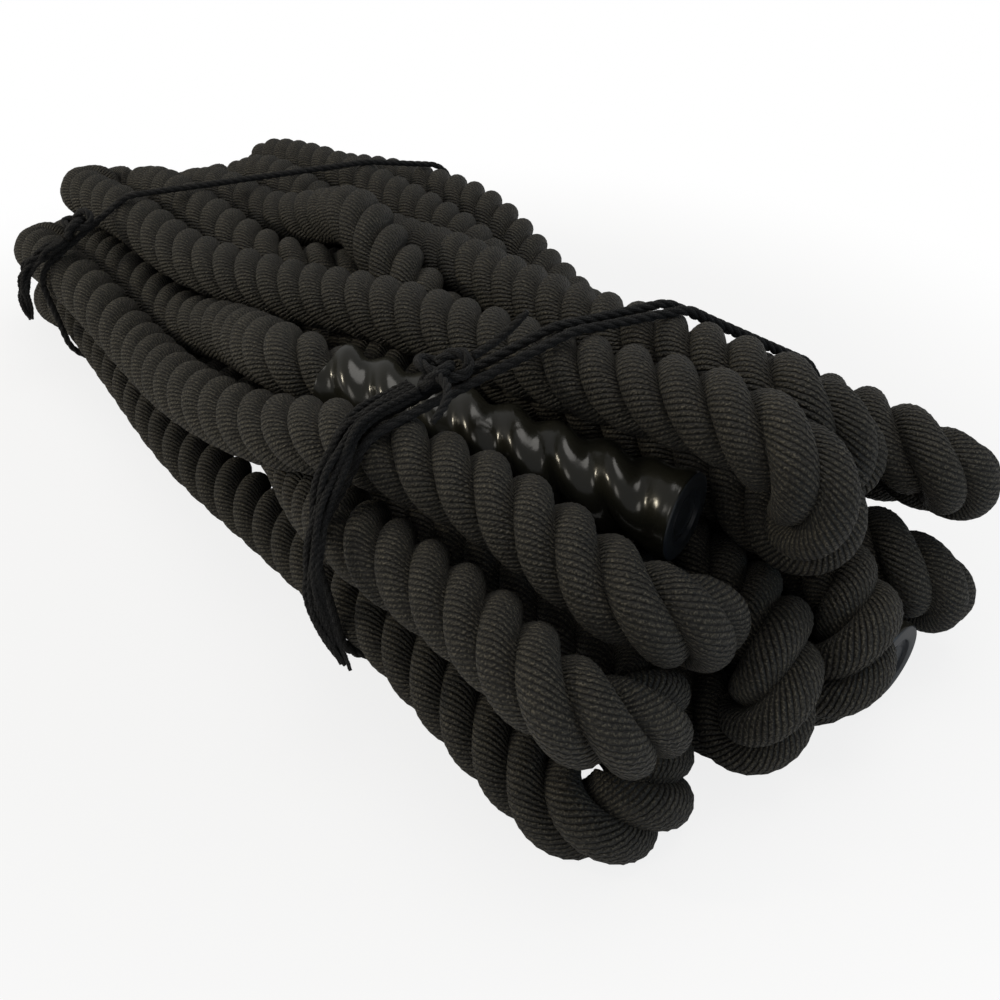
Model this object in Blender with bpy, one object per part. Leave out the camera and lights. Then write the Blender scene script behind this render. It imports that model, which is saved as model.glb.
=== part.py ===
"""Battle rope: a laid three-strand training rope, folded into a tied hank.

The rope is folded to and fro in twenty runs. X lies along the runs, with the two handles at +X,
Y lies across them and Z is up. The origin is on the floor, under the middle of the hank.
Both rope ends are laid strands inside a shrunk sleeve with a closed, recessed end.
Two ties of loose yarn hold the hank, each with a knot and a tassel.
"""
import math
import bpy
import bmesh
import numpy as np
from mathutils import Vector

# The rope
rope_diameter = 0.038
lay_length = 0.089            # along the rope, for one full turn of a strand
strand_count = 3
fit_gap = 0.0003              # between solids that touch on the real rope
self_gap = 0.0009             # least gap of the folded rope to itself
weld_distance = 0.00001
underside_cut = rope_diameter / 10
hank_facets = 1               # bevel_resolution of the folded rope

# The folds of the hank
far_run_end = -0.3116         # X where the runs turn into the far loops
near_run_end = 0.3192         # X where they turn into the near loops
far_tie_x = -0.1786
near_tie_x = 0.2356
fan_start = -0.190            # X where the wide far end starts to draw together
fan_end = 0.209
splay_end = 0.323             # X where the near loops are spread again
belly_length = 0.134          # over which the runs bulge between the ties
tie_draw_length = 0.066       # over which a tie draws and lifts them
run_pitch = 0.0396            # least spacing of neighbouring runs
loop_width = 0.0494           # least width of a loop, on its centre line
loop_reach = 0.0285           # how far a loop runs on past its runs
least_bend_radius = 0.0260
straight_spacing = 0.11       # greatest spacing of the points of the centre line
stations_per_run = 7
points_per_turn = 5
point_count = 240             # of the finished centre line
bend_spacing = 0.5            # greatest bend at one of them, in radians
settling_rounds = 400
rounding_passes = 3
polishing_rounds = 160

# Where each run lies, as (y, z) in rope diameters: at the far end, at the near tie and at the
# near end. The last two shares are how far its own loops lie past the ends of the runs.
run_shares = [
    ((-1.80, 1.45), (-1.20, 2.70), (-0.40, 2.85), -0.70, 0.00),    # upper handle
    ((-2.85, 1.45), (-2.20, 2.15), (-1.95, 2.40), -0.70, 0.35),
    ((0.28, 1.42), (-1.15, 2.05), (-0.75, 1.35), -1.60, 0.35),
    ((-0.76, 1.42), (-1.70, 1.35), (-1.65, 1.40), -1.60, 0.35),
    ((-1.56, 0.50), (-2.55, 1.40), (-2.70, 1.60), -0.65, 0.35),
    ((-2.60, 0.50), (-2.60, 0.50), (-2.65, 0.50), -0.65, 0.55),
    ((-0.52, 0.50), (-1.56, 0.50), (-1.65, 0.50), -1.20, 0.55),
    ((0.52, 0.50), (-0.52, 0.50), (-0.85, 0.50), -1.20, 0.85),
    ((1.56, 0.50), (-0.60, 1.35), (-0.02, 1.35), -1.60, 0.85),
    ((1.32, 1.42), (0.50, 0.50), (0.62, 0.50), -1.60, 0.70),
    ((-0.24, 2.30), (0.95, 1.45), (1.15, 1.50), -0.30, 0.70),
    ((-1.28, 2.30), (-0.20, 3.05), (-0.05, 3.65), -0.30, 0.40),
    ((0.80, 2.30), (0.15, 2.15), (0.60, 1.75), -0.15, 0.40),
    ((1.84, 2.30), (0.95, 2.75), (0.95, 3.10), -0.15, -0.10),
    ((2.88, 2.33), (1.45, 2.05), (1.55, 2.30), 0.40, -0.10),
    ((3.92, 2.25), (2.50, 2.05), (2.20, 2.75), 0.40, 0.40),
    ((3.40, 1.42), (3.00, 1.35), (2.95, 2.05), -1.50, 0.40),
    ((2.36, 1.42), (2.55, 0.50), (3.00, 0.80), -1.50, 0.75),
    ((2.60, 0.50), (2.00, 1.35), (2.35, 1.60), -1.30, 0.75),
    ((3.64, 0.50), (1.25, 0.78), (1.60, 0.78), -1.30, 0.00),       # lower handle
]
edge_run = 5                  # along the open side, where nothing leans on it
tie_draw_share = 0.05         # how much a tie draws the runs together
belly_share = 0.04            # how much they bulge between the ties
yield_share = 0.15            # how far a run on the floor gives way to the others
edge_yield_share = 0.05
floor_band_share = 0.1        # a run this near the floor, in diameters, lies on it
sag_step = 0.0001             # how far a run sinks in each round of settling
sag_end = 0.20                # X beyond which the handles' ends hold the runs up
sag_fade = 0.10
sagging_share = 0.8           # of the rounds
side_shares = (-2.85, 4.3)    # how far aside the ties let the runs lie, in diameters

# The handles
core_diameter = 0.0346        # the strands, squeezed by the sleeve
strand_diameter = 0.0148
strand_points = 28
strand_facets = 1
sleeve_length = 0.200
sleeve_wall = 0.0010          # between the lobes
lobe_height = 0.0014          # how far the strands show through the sleeve
end_flare = 0.0006            # the closed end stands out by this
end_thickness = 0.004
end_clearance = 0.006         # between the strands' ends and the closed end
end_fade = 0.030              # over which the lobes fade to the round end
rim_radius = 0.0015
recess_diameter = 0.030
recess_depth = 0.0012
recess_slope = 0.0006
sleeve_rings = 34
sleeve_sides = 24
sleeve_diameter = core_diameter + 2 * (fit_gap + sleeve_wall + lobe_height + end_flare)
upper_handle_end = 0.317      # X of the closed end of the upper handle
lower_handle_end = 0.386
# (y, z) of a handle's closed end and of its mouth, in rope diameters
upper_handle_shares = ((-0.40, 2.86), (-1.90, 2.95))
lower_handle_shares = ((1.62, 0.80), (1.30, 0.78))

# The ties
tie_diameter = 0.0048
tie_room = 0.0016             # spare room under the rope, where a tie passes
tie_spacing = 0.0068          # between the two turns of the near tie, at the edge by its knot
near_slant_shares = (0.20, 0.24)    # change of X over change of Y, for its two turns
far_slant_share = 0.20
hull_angles = 48
outline_points = 180          # of a tie's course, before it is thinned
band_points = 60
clearing_rounds = 8
tie_facets = 2
knot_length = 0.0288
knot_width = 0.0264
knot_height = 0.0112
knot_points = 42
tail_points = 8
yarn_diameter = 0.0024
yarn_points = 12
yarn_facets = 1
yarns_per_layer = 4
tassel_layers = 2
near_knot_y = -0.068
near_edge_y = -0.125
far_knot_y = -0.095
near_tassel_length = 0.120
far_tassel_length = 0.060
near_tassel_drift = 0.060     # how far the tassel's tip hangs along X from the tie
far_tassel_drift = 0.006
tassel_lift = 0.012           # how far its tip stands off the rope
knot_tip = 0.94               # in radians, where its course reaches furthest along the band
near_tail_lengths = (0.026, 0.030)
near_tail_tips = (-knot_tip, 1.445)           # where they leave the knot's course
near_tail_ways = ((-1.0, 0.0, 0.0), (0.0, 1.0, 0.0))    # along the band, aside and out of it
near_tail_bend_shares = ((0.0, 0.25, 0.45), (0.60, -0.30, -0.10))
tassel_spread_share = 0.35    # how much the yarns part towards the tip
tassel_stagger_share = 0.13   # how much shorter the shortest yarn is
cutter_overrun = 0.05


def smooth_step(t):
    t = np.clip(t, 0.0, 1.0)
    return t * t * (3.0 - 2.0 * t)


# The route of the rope

def tie_swell(x, y):
    """1 along each tie, which crosses the runs at a slant, and 0 away from both."""
    near = x - near_tie_x - y * sum(near_slant_shares) / len(near_slant_shares)
    far = x - far_tie_x - y * far_slant_share
    return np.exp(-(near / tie_draw_length) ** 2) + np.exp(-(far / tie_draw_length) ** 2)


def floor_height(x, y):
    """The axis of a run that lies on the floor, lifted where a tie passes under it."""
    return rope_diameter / 2 + tie_swell(x, y) * (tie_diameter + underside_cut + tie_room)


def handle_axis(end_x, shares):
    """A handle's closed end, its mouth, and the direction from the one to the other."""
    closed, mouth = (np.array(share) * rope_diameter for share in shares)
    along = math.sqrt(sleeve_length ** 2 - (mouth - closed) @ (mouth - closed))
    end = np.array((end_x, *closed))
    start = np.array((end_x - along, *mouth))
    return end, start, (start - end) / sleeve_length


def handle_axes():
    return (handle_axis(upper_handle_end, upper_handle_shares),
            handle_axis(lower_handle_end, lower_handle_shares))


def run_limits(row):
    return far_run_end - row[3] * rope_diameter, near_run_end + row[4] * rope_diameter


def sag_at(x):
    """How far a run sinks in a round, at this X."""
    return sag_step * smooth_step((sag_end - x) / sag_fade)


def settle(slots, floor, held, present, sag):
    """Push round runs apart, in one cross-section, until each has its own room."""
    yields = np.where(slots[:, 1] < floor + floor_band_share * rope_diameter, yield_share, 1.0)
    yields[edge_run] = edge_yield_share
    yields[held] = 0.0
    total = yields[:, None] + yields[None]
    give = yields[:, None] / np.where(total > 0, total, 1.0) * (present[:, None] & present[None])
    rounds = 120
    for count in range(rounds):
        if count < sagging_share * rounds:
            slots[:, 1] -= np.where(yields > 0, sag, 0.0)
        apart = slots[:, None] - slots[None]
        distance = np.sqrt((apart ** 2).sum(-1)) + np.eye(len(slots)) * 10 * run_pitch
        push = np.clip(run_pitch - distance, 0.0, None) * give
        slots = slots + 0.7 * (apart / distance[..., None] * push[..., None]).sum(1)
        slots[:, 1] = np.maximum(slots[:, 1], floor)
    return slots


def cross_section(x):
    """The (y, z) of all the runs at one X."""
    far, waist, near = (np.array([row[k] for row in run_shares]) * rope_diameter for k in range(3))
    fan = smooth_step((x - fan_start) / (fan_end - fan_start))
    splay = smooth_step((x - fan_end) / (splay_end - fan_end))
    slots = far + (waist - far) * fan + (near - waist) * splay
    bulge = belly_share * math.exp(-(x / belly_length) ** 2)
    slots[:, 0] *= 1 - tie_draw_share * tie_swell(x, 0.0) + bulge
    floor = floor_height(x, slots[:, 0])
    slots[:, 1] += floor - rope_diameter / 2
    held = []
    for run, (end, start, back) in zip((0, len(slots) - 1), handle_axes()):
        blend = float(smooth_step((x - start[0]) / (3 * rope_diameter) + 1.3))
        on_axis = (end + back * (x - end[0]) / back[0])[1:]
        slots[run] += (on_axis - slots[run]) * blend
        if blend > 0.99:
            held.append(run)
    limits = np.array([run_limits(row) for row in run_shares])
    present = (limits[:, 0] - rope_diameter / 2 < x) & (x < limits[:, 1] + rope_diameter / 2)
    return settle(slots, floor, held, present, sag_at(x))


def turn(start, stop, x, side):
    """The points of one loop, from the end of one run to the start of the next."""
    middle, half = (start + stop) / 2, (start - stop) / 2
    radius = np.linalg.norm(half)
    widen = max(0.0, loop_width / 2 - radius)
    points = []
    for k in range(1, points_per_turn + 1):
        angle = math.pi * k / (points_per_turn + 1)
        across = math.cos(angle) * (radius + 1.6 * widen * math.sin(angle) ** 0.7)
        out = side * (loop_reach + 0.3 * max(0.0, radius - loop_width / 2)) * math.sin(angle)
        points.append(np.array((x + out, *(middle + half / radius * across))))
    return points


def drafted_route():
    """The whole centre line as laid down, before it settles: points, and the run of each."""
    upper, lower = handle_axes()
    last = len(run_shares) - 1
    points = [upper[0], upper[1], upper[1] + upper[2] * rope_diameter]
    runs = [0, 0, 0]
    for run, row in enumerate(run_shares):
        far, near = run_limits(row)
        stations = np.linspace(far, near, stations_per_run)
        if run % 2 == 0:
            stations = stations[::-1]
        mouth = {0: upper[1][0], last: lower[1][0]}.get(run, math.inf)
        for x in stations:
            if x < mouth - 1.6 * rope_diameter:
                points.append(np.array((x, *cross_section(x)[run])))
                runs.append(run)
        if run < last:
            x, side = (near, 1) if run % 2 else (far, -1)
            here = cross_section(x)
            points += turn(here[run], here[run + 1], x, side)
            runs += [run] * points_per_turn
    points += [lower[1] + lower[2] * rope_diameter, lower[1], lower[0]]
    runs += [last] * 3
    return np.array(points), np.array(runs)


def smooth_curve(points, steps):
    """A smooth curve through the points, in so many steps after each."""
    padded = np.vstack([2 * points[0] - points[1], points, 2 * points[-1] - points[-2]])
    curve = []
    for k, count in enumerate(steps):
        a, b, c, d = padded[k:k + 4]
        ab, bc, cd = (math.sqrt(np.linalg.norm(v)) for v in (b - a, c - b, d - c))
        leave = bc * ((b - a) / ab - (c - a) / (ab + bc) + (c - b) / bc)
        arrive = bc * ((c - b) / bc - (d - b) / (bc + cd) + (d - c) / cd)
        for t in np.arange(count) / count:
            curve.append((2 * t ** 3 - 3 * t ** 2 + 1) * b + (t ** 3 - 2 * t ** 2 + t) * leave
                         + (3 * t ** 2 - 2 * t ** 3) * c + (t ** 3 - t ** 2) * arrive)
    return np.array(curve + [points[-1]])


def walked_lengths(points):
    return np.concatenate([[0.0], np.cumsum(np.linalg.norm(np.diff(points, axis=0), axis=1))])


def touching(points, reach):
    """The pairs of points that lie near each other but far apart along the rope."""
    walked = walked_lengths(points)
    apart = np.sqrt(((points[:, None] - points[None]) ** 2).sum(-1))
    return np.nonzero((apart < reach) & (walked[None] - walked[:, None] > 2.2 * rope_diameter))


def bent(points):
    """Pairs of points a short way apart along the rope, and how near a bend may bring them."""
    walked = walked_lengths(points)
    ahead = walked[None] - walked[:, None]
    i, j = np.nonzero((ahead > 0.7 * rope_diameter) & (ahead < 2.0 * rope_diameter))
    turned = np.minimum(ahead[i, j] / (2 * least_bend_radius), math.pi / 2)
    return i, j, 2 * least_bend_radius * np.sin(turned)[:, None]


def settled_route():
    """Ease the drafted route apart from itself, as a stiff cord would lie."""
    points, runs = drafted_route()
    gaps = np.linalg.norm(np.diff(points, axis=0), axis=1)
    steps = np.maximum(2, np.ceil(gaps / (0.42 * rope_diameter))).astype(int)
    curve = smooth_curve(points, steps)
    marks = np.concatenate([[0], np.cumsum(steps)])
    for first, final in ((0, 2), (len(points) - 3, len(points) - 1)):
        along = np.linspace(0.0, 1.0, marks[final] - marks[first] + 1)[:, None]
        curve[marks[first]:marks[final] + 1] = points[first] * (1 - along) + points[final] * along
    places = np.searchsorted(marks, np.arange(len(curve)), side="right") - 1
    free = np.where(runs[places] == edge_run, 2 * edge_yield_share, 1.0)[:, None]
    free[:marks[2] + 1] = free[marks[-3]:] = 0.0
    radius = np.full((len(curve), 1), run_pitch / 2)
    radius[:marks[1] + 1] = radius[marks[-2]:] = sleeve_diameter / 2 + fit_gap
    floor = floor_height(curve[:, 0], curve[:, 1])
    i, j = touching(curve, 1.9 * rope_diameter)
    need = radius[i] + radius[j]
    along_i, along_j, chord = bent(curve)
    i, j, need = np.append(i, along_i), np.append(j, along_j), np.vstack([need, chord])
    total = np.maximum(free[i] + free[j], 1e-9)
    start = curve.copy()
    for count in range(settling_rounds):
        apart = curve[i] - curve[j]
        distance = np.linalg.norm(apart, axis=1, keepdims=True)
        push = apart / distance * np.clip(need - distance, 0.0, None)
        move, strongest = np.zeros_like(curve), np.zeros(len(curve))
        for side, way, share in ((i, 1.0, free[i] / total), (j, -1.0, free[j] / total)):
            np.add.at(move, side, way * push * share)
            np.maximum.at(strongest, side, np.linalg.norm(push * share, axis=1))
        size = np.linalg.norm(move, axis=1)
        move *= (np.minimum(size, strongest) / np.maximum(size, 1e-12))[:, None]
        shift = curve + 0.9 * move - start
        if count < sagging_share * settling_rounds:
            shift[:, 2] -= sag_at(curve[:, 0])
        if count < settling_rounds - 20:
            shift[1:-1] = 0.5 * shift[1:-1] + 0.25 * (shift[:-2] + shift[2:])
        curve = start + np.where(free > 0, shift, 0.0)
        curve[:, 2] = np.maximum(curve[:, 2], floor)
        aside = np.clip(curve[:, 1], *(share * rope_diameter for share in side_shares))
        curve[:, 1] = np.where(free[:, 0] > 0, aside, curve[:, 1])
    for _ in range(rounding_passes):
        curve[marks[2] + 1:marks[-3]] = (curve[marks[2]:marks[-3] - 1] + curve[marks[2] + 2:marks[-3] + 1]
                                         + 2 * curve[marks[2] + 1:marks[-3]]) / 4
    loose = thinned(curve[marks[2]:marks[-3] + 1], point_count - 4)
    return polished(np.vstack([points[:2], loose, points[-2:]]))


def thinned(curve, count):
    """So many points of the curve, closer together where it bends."""
    steps = np.diff(curve, axis=0)
    lengths = np.linalg.norm(steps, axis=1)
    ahead = steps / lengths[:, None]
    bends = np.arccos(np.clip((ahead[1:] * ahead[:-1]).sum(1), -1.0, 1.0))
    measure = lengths / straight_spacing
    measure[1:] += bends / (2 * bend_spacing)
    measure[:-1] += bends / (2 * bend_spacing)
    passed = np.concatenate([[0.0], np.cumsum(measure)])
    places = np.linspace(0.0, passed[-1], count)
    return np.stack([np.interp(places, passed, curve[:, axis]) for axis in range(3)], axis=1)


def sampled(points, spacing):
    """Points along the straight stretches: their places, stretch and share of the stretch."""
    lengths = np.linalg.norm(np.diff(points, axis=0), axis=1)
    counts = np.maximum(2, np.ceil(lengths / spacing)).astype(int)
    first = np.repeat(np.arange(len(counts)), counts)
    share = np.concatenate([np.arange(count) / count for count in counts])[:, None]
    return points[first] * (1 - share) + points[first + 1] * share, first, share


def polished(points):
    """Ease the few control points apart, where their straight chords still come too near."""
    points = points.copy()
    samples, first, share = sampled(points, rope_diameter / 4)
    radius = np.full((len(first), 1), (rope_diameter + self_gap) / 2)
    radius[first == 0] = radius[first == len(points) - 2] = sleeve_diameter / 2 + fit_gap
    free = np.ones((len(points), 1))
    free[:3] = free[-3:] = 0.0
    i, j = touching(samples, 1.5 * rope_diameter)
    near, later, chord = bent(points)
    for _ in range(polishing_rounds):
        samples = points[first] * (1 - share) + points[first + 1] * share
        apart = samples[i] - samples[j]
        distance = np.linalg.norm(apart, axis=1, keepdims=True)
        lacking = np.clip(radius[i] + radius[j] - distance, 0.0, None)
        push = apart / distance * lacking
        moves, weight = np.zeros_like(points), np.full((len(points), 1), 1e-9)
        for side, way in ((i, 0.5), (j, -0.5)):
            for end, part in ((first[side], 1 - share[side]), (first[side] + 1, share[side])):
                np.add.at(moves, end, way * push * part)
                np.add.at(weight, end, (lacking > 0) * part ** 2)
        sunk = floor_height(samples[:, 0], samples[:, 1]) - samples[:, 2]
        raised = np.clip(sunk, 0.0, None)[:, None] * np.array((0.0, 0.0, 1.0))
        for end, part in ((first, 1 - share), (first + 1, share)):
            np.add.at(moves, end, raised * part)
            np.add.at(weight, end, (raised[:, 2:] > 0) * part ** 2)
        apart = points[near] - points[later]
        distance = np.linalg.norm(apart, axis=1, keepdims=True)
        push = apart / distance * np.clip(chord - distance, 0.0, None)
        for side, way in ((near, 0.5), (later, -0.5)):
            np.add.at(moves, side, way * push)
            np.add.at(weight, side, chord > distance)
        points += 0.8 * free * moves / np.maximum(weight, 1.0)
        floor = floor_height(points[:, 0], points[:, 1])
        points[:, 2] = np.where(free[:, 0] > 0, np.maximum(points[:, 2], floor), points[:, 2])
    return points


def least_gap(points):
    """The least gap of the rope to itself, measured between points along it."""
    samples = sampled(points[1:-1], rope_diameter / 7)[0]
    i, j = touching(samples, 1.3 * rope_diameter)
    return np.linalg.norm(samples[i] - samples[j], axis=1).min() - rope_diameter


# Blender objects

def material(name, colour, roughness, metallic=0.0):
    made = bpy.data.materials.new(name)
    made.use_nodes = True
    shader = made.node_tree.nodes["Principled BSDF"]
    shader.inputs["Base Color"].default_value = (*colour, 1.0)
    shader.inputs["Roughness"].default_value = roughness
    shader.inputs["Metallic"].default_value = metallic
    made.diffuse_color = (*colour, 1.0)
    return made


def place(name, data, parent, collection, surface=None):
    made = bpy.data.objects.new(name, data)
    collection.objects.link(made)
    made.parent = parent
    if surface:
        data.materials.append(surface)
    return made


def empty(name, parent, collection):
    return place(name, None, parent, collection)


def tube(name, points, diameter, facets, surface, parent, collection, closed=False):
    """A round cord through the points."""
    curve = bpy.data.curves.new(name, "CURVE")
    curve.dimensions = "3D"
    curve.bevel_depth = diameter / 2
    curve.bevel_resolution = facets
    curve.use_fill_caps = not closed
    spline = curve.splines.new("POLY")
    spline.points.add(len(points) - 1)
    for control, point in zip(spline.points, points):
        control.co = (*point, 1.0)
    spline.use_cyclic_u = closed
    return place(name, curve, parent, collection, surface)


def meshed(cord):
    """The same cord as a mesh with welded caps, which a Boolean can cut."""
    scene_graph = bpy.context.evaluated_depsgraph_get()
    mesh = bpy.data.meshes.new_from_object(cord.evaluated_get(scene_graph))
    work = bmesh.new()
    work.from_mesh(mesh)
    bmesh.ops.remove_doubles(work, verts=work.verts, dist=weld_distance)
    work.to_mesh(mesh)
    work.free()
    made = bpy.data.objects.new(cord.name, mesh)
    cord.users_collection[0].objects.link(made)
    made.parent = cord.parent
    made.matrix_world = cord.matrix_world
    name = cord.name
    bpy.data.objects.remove(cord)
    made.name = name
    return made


def loft(name, rings, surface, parent, collection):
    """A closed skin over rings with the same number of points, flat at both ends."""
    work = bmesh.new()
    levels = [[work.verts.new(point) for point in ring] for ring in rings]
    sides = len(rings[0])
    for lower, upper in zip(levels[:-1], levels[1:]):
        for k in range(sides):
            following = (k + 1) % sides
            work.faces.new((lower[k], lower[following], upper[following], upper[k]))
    work.faces.new(levels[0][::-1])
    work.faces.new(levels[-1])
    bmesh.ops.recalc_face_normals(work, faces=work.faces)
    mesh = bpy.data.meshes.new(name)
    work.to_mesh(mesh)
    work.free()
    mesh.shade_smooth()
    mesh.set_sharp_from_angle(angle=math.radians(40))
    return place(name, mesh, parent, collection, surface)


# The handles

def strand_angle(height):
    """How far the strands have turned at a height above the mouth: straight at first."""
    ramp = min(max(height - strand_diameter, 0.0), strand_diameter)
    beyond = max(height - 2 * strand_diameter, 0.0)
    return 2 * math.pi / lay_length * (ramp ** 2 / (2 * strand_diameter) + beyond)


def add_strands(name, handle, surface, collection):
    around = (core_diameter - strand_diameter) / 2
    top = sleeve_length - end_thickness - end_clearance
    for number in range(strand_count):
        points = []
        for height in [0.0] + list(np.linspace(strand_diameter, top, strand_points - 1)):
            angle = strand_angle(height) + 2 * math.pi * number / strand_count
            points.append((around * math.cos(angle), around * math.sin(angle), height))
        tube(f"{name}_strand_{number + 1}", points, strand_diameter, strand_facets, surface, handle,
             collection)


def round_ring(height, radius):
    angles = [2 * math.pi * k / sleeve_sides for k in range(sleeve_sides)]
    return [(radius * math.cos(angle), radius * math.sin(angle), height) for angle in angles]


def lobed_ring(height, radius, lobes):
    """One ring of the sleeve's skin. Its lobes stand out over the strands and turn with them."""
    ring = []
    for k in range(sleeve_sides):
        angle = 2 * math.pi * k / sleeve_sides
        reach = radius + lobes * lobe_height * (1 + math.cos(strand_count * angle)) / 2
        turned = angle + strand_angle(height)
        ring.append((reach * math.cos(turned), reach * math.sin(turned), height))
    return ring


def add_sleeve(name, handle, surface, collection):
    """A shrunk sleeve: a plain bore, lobes over the strands, and a round closed end."""
    bore = core_diameter / 2 + fit_gap
    outer, end_radius = bore + sleeve_wall, sleeve_diameter / 2
    rings = [round_ring(sleeve_length - end_thickness, bore), round_ring(0.0, bore)]
    for height in np.linspace(0.0, sleeve_length - rim_radius, sleeve_rings):
        fade = float(smooth_step((height - sleeve_length + end_fade) / (end_fade - rim_radius)))
        rings.append(lobed_ring(height, outer + (end_radius - outer) * fade, 1 - fade))
    for angle in (30, 60, 90):
        back = rim_radius * (1 - math.cos(math.radians(angle)))
        up = rim_radius * (1 - math.sin(math.radians(angle)))
        rings.append(lobed_ring(sleeve_length - up, end_radius - back, 0.0))
    rings.append(lobed_ring(sleeve_length, recess_diameter / 2, 0.0))
    rings.append(lobed_ring(sleeve_length - recess_depth, recess_diameter / 2 - recess_slope, 0.0))
    return loft(f"{name}_sleeve", rings, surface, handle, collection)


def add_handle(name, axis, root, collection, surfaces):
    end, start, back = axis
    handle = empty(f"{name}_handle", root, collection)
    handle.location = start
    handle.rotation_mode = "QUATERNION"
    handle.rotation_quaternion = Vector(-back).to_track_quat("Z", "Y")
    add_strands(name, handle, surfaces["rope"], collection)
    add_sleeve(name, handle, surfaces["sleeve"], collection)


# The ties

class Band:
    """A taut turn round the whole hank, in an upright plane that crosses the runs at a slant."""

    def __init__(self, route, x, slant):
        self.x, self.slant = x, slant
        self.starts, self.steps = route[:-1], np.diff(route, axis=0)
        self.radii = np.full(len(self.starts), rope_diameter / 2)
        self.radii[[0, -1]] = sleeve_diameter / 2
        ahead = route[:, 0] - x - slant * route[:, 1]
        cut = np.nonzero(ahead[:-1] * ahead[1:] <= 0)[0]
        share = (ahead[cut] / (ahead[cut] - ahead[cut + 1]))[:, None]
        centres = (self.starts[cut] + self.steps[cut] * share)[:, 1:]
        self.outline = self.hull(centres, self.radii[cut] + tie_diameter / 2 + fit_gap)
        self.walked = walked_lengths(np.vstack([self.outline, self.outline[:1]]))

    def hull(self, centres, radii):
        """The outline of a cord stretched round circles, in equal steps, clear of the floor."""
        angles = np.linspace(0.0, 2 * math.pi, hull_angles, endpoint=False)
        ways = np.stack([np.cos(angles), np.sin(angles)], axis=1)
        points = (centres[:, None] + radii[:, None, None] * ways[None]).reshape(-1, 2)
        ordered = sorted(map(tuple, points))
        halves = []
        for walk in (ordered, ordered[::-1]):
            chain = []
            for point in walk:
                while len(chain) > 1 and self.turns_right(chain[-2], chain[-1], point):
                    chain.pop()
                chain.append(point)
            halves += chain[:-1]
        loop = np.array(halves + halves[:1])
        walked = walked_lengths(loop)
        places = np.linspace(0.0, walked[-1], outline_points, endpoint=False)
        outline = np.stack([np.interp(places, walked, loop[:, axis]) for axis in range(2)], axis=1)
        outline[:, 1] = np.maximum(outline[:, 1], underside_cut + fit_gap + tie_diameter / 2)
        return outline

    @staticmethod
    def turns_right(a, b, c):
        return (b[0] - a[0]) * (c[1] - a[1]) - (b[1] - a[1]) * (c[0] - a[0]) <= 0

    def place_of(self, y):
        """The distance along the band to its upper crossing of y."""
        upper = self.outline[:, 1] > self.outline[:, 1].mean()
        nearest = np.argmin(np.abs(self.outline[:, 0] - y) + np.where(upper, 0.0, 1.0))
        return self.walked[nearest]

    def point(self, along, aside, out):
        """A point by its distance along the band, its offset along X, and its height over it."""
        along %= self.walked[-1]
        loop = np.vstack([self.outline, self.outline[:1]])
        y, z = (np.interp(along, self.walked, loop[:, axis]) for axis in range(2))
        step = tie_diameter
        before, after = ((along + way * step) % self.walked[-1] for way in (-1, 1))
        tangent = np.array([np.interp(after, self.walked, loop[:, axis])
                            - np.interp(before, self.walked, loop[:, axis]) for axis in range(2)])
        normal = np.array((tangent[1], -tangent[0])) / np.linalg.norm(tangent)
        y, z = y + out * normal[0], z + out * normal[1]
        return np.array((self.x + self.slant * y + aside, y, z))

    def lacking(self, point, radius):
        """How much a cord at the point lacks of clear room to the rope, and the way out of it."""
        squares = (self.steps ** 2).sum(axis=1)
        share = np.clip(((point - self.starts) * self.steps).sum(axis=1) / squares, 0.0, 1.0)
        apart = point - self.starts - self.steps * share[:, None]
        distance = np.linalg.norm(apart, axis=1)
        short = self.radii + radius + fit_gap - distance
        worst = short.argmax()
        return max(0.0, short[worst]), apart[worst] / distance[worst]

    def cleared(self, points, radius):
        """The points, pushed out of the rope and off the floor where they come too near."""
        points = np.array(points, dtype=float)
        for _ in range(clearing_rounds):
            for k, point in enumerate(points):
                short, way = self.lacking(point, radius)
                points[k] = point + short * way
            points[:, 2] = np.maximum(points[:, 2], underside_cut + fit_gap + radius)
        return points

    def line(self):
        """The band's own centre line, closer where it bends."""
        points = [(self.x + self.slant * y, y, z) for y, z in self.outline]
        points = self.cleared(points, tie_diameter / 2)
        return thinned(np.vstack([points, points[:1]]), band_points + 1)[:-1]


def knot_course(t):
    """A trefoil's (along, aside, out) round its middle."""
    spans = [(size - tie_diameter) / 2 for size in (knot_length, knot_width, knot_height)]
    return np.array((spans[0] * (math.sin(t) + 2 * math.sin(2 * t)) / 3,
                     spans[1] * (math.cos(t) - 2 * math.cos(2 * t)) / 3,
                     -spans[2] * math.sin(3 * t)))


def knot_middle(along):
    return np.array((along, 0.0, tie_diameter / 2 + fit_gap + knot_height / 2))


def add_knot(name, band, along, root, collection, surface):
    """A trefoil knot of the tie's own cord, lying on the band."""
    turns = np.linspace(0.0, 2 * math.pi, knot_points, endpoint=False)
    points = [band.point(*(knot_middle(along) + knot_course(t))) for t in turns]
    tube(name, points, tie_diameter, tie_facets, surface, root, collection, closed=True)


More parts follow.
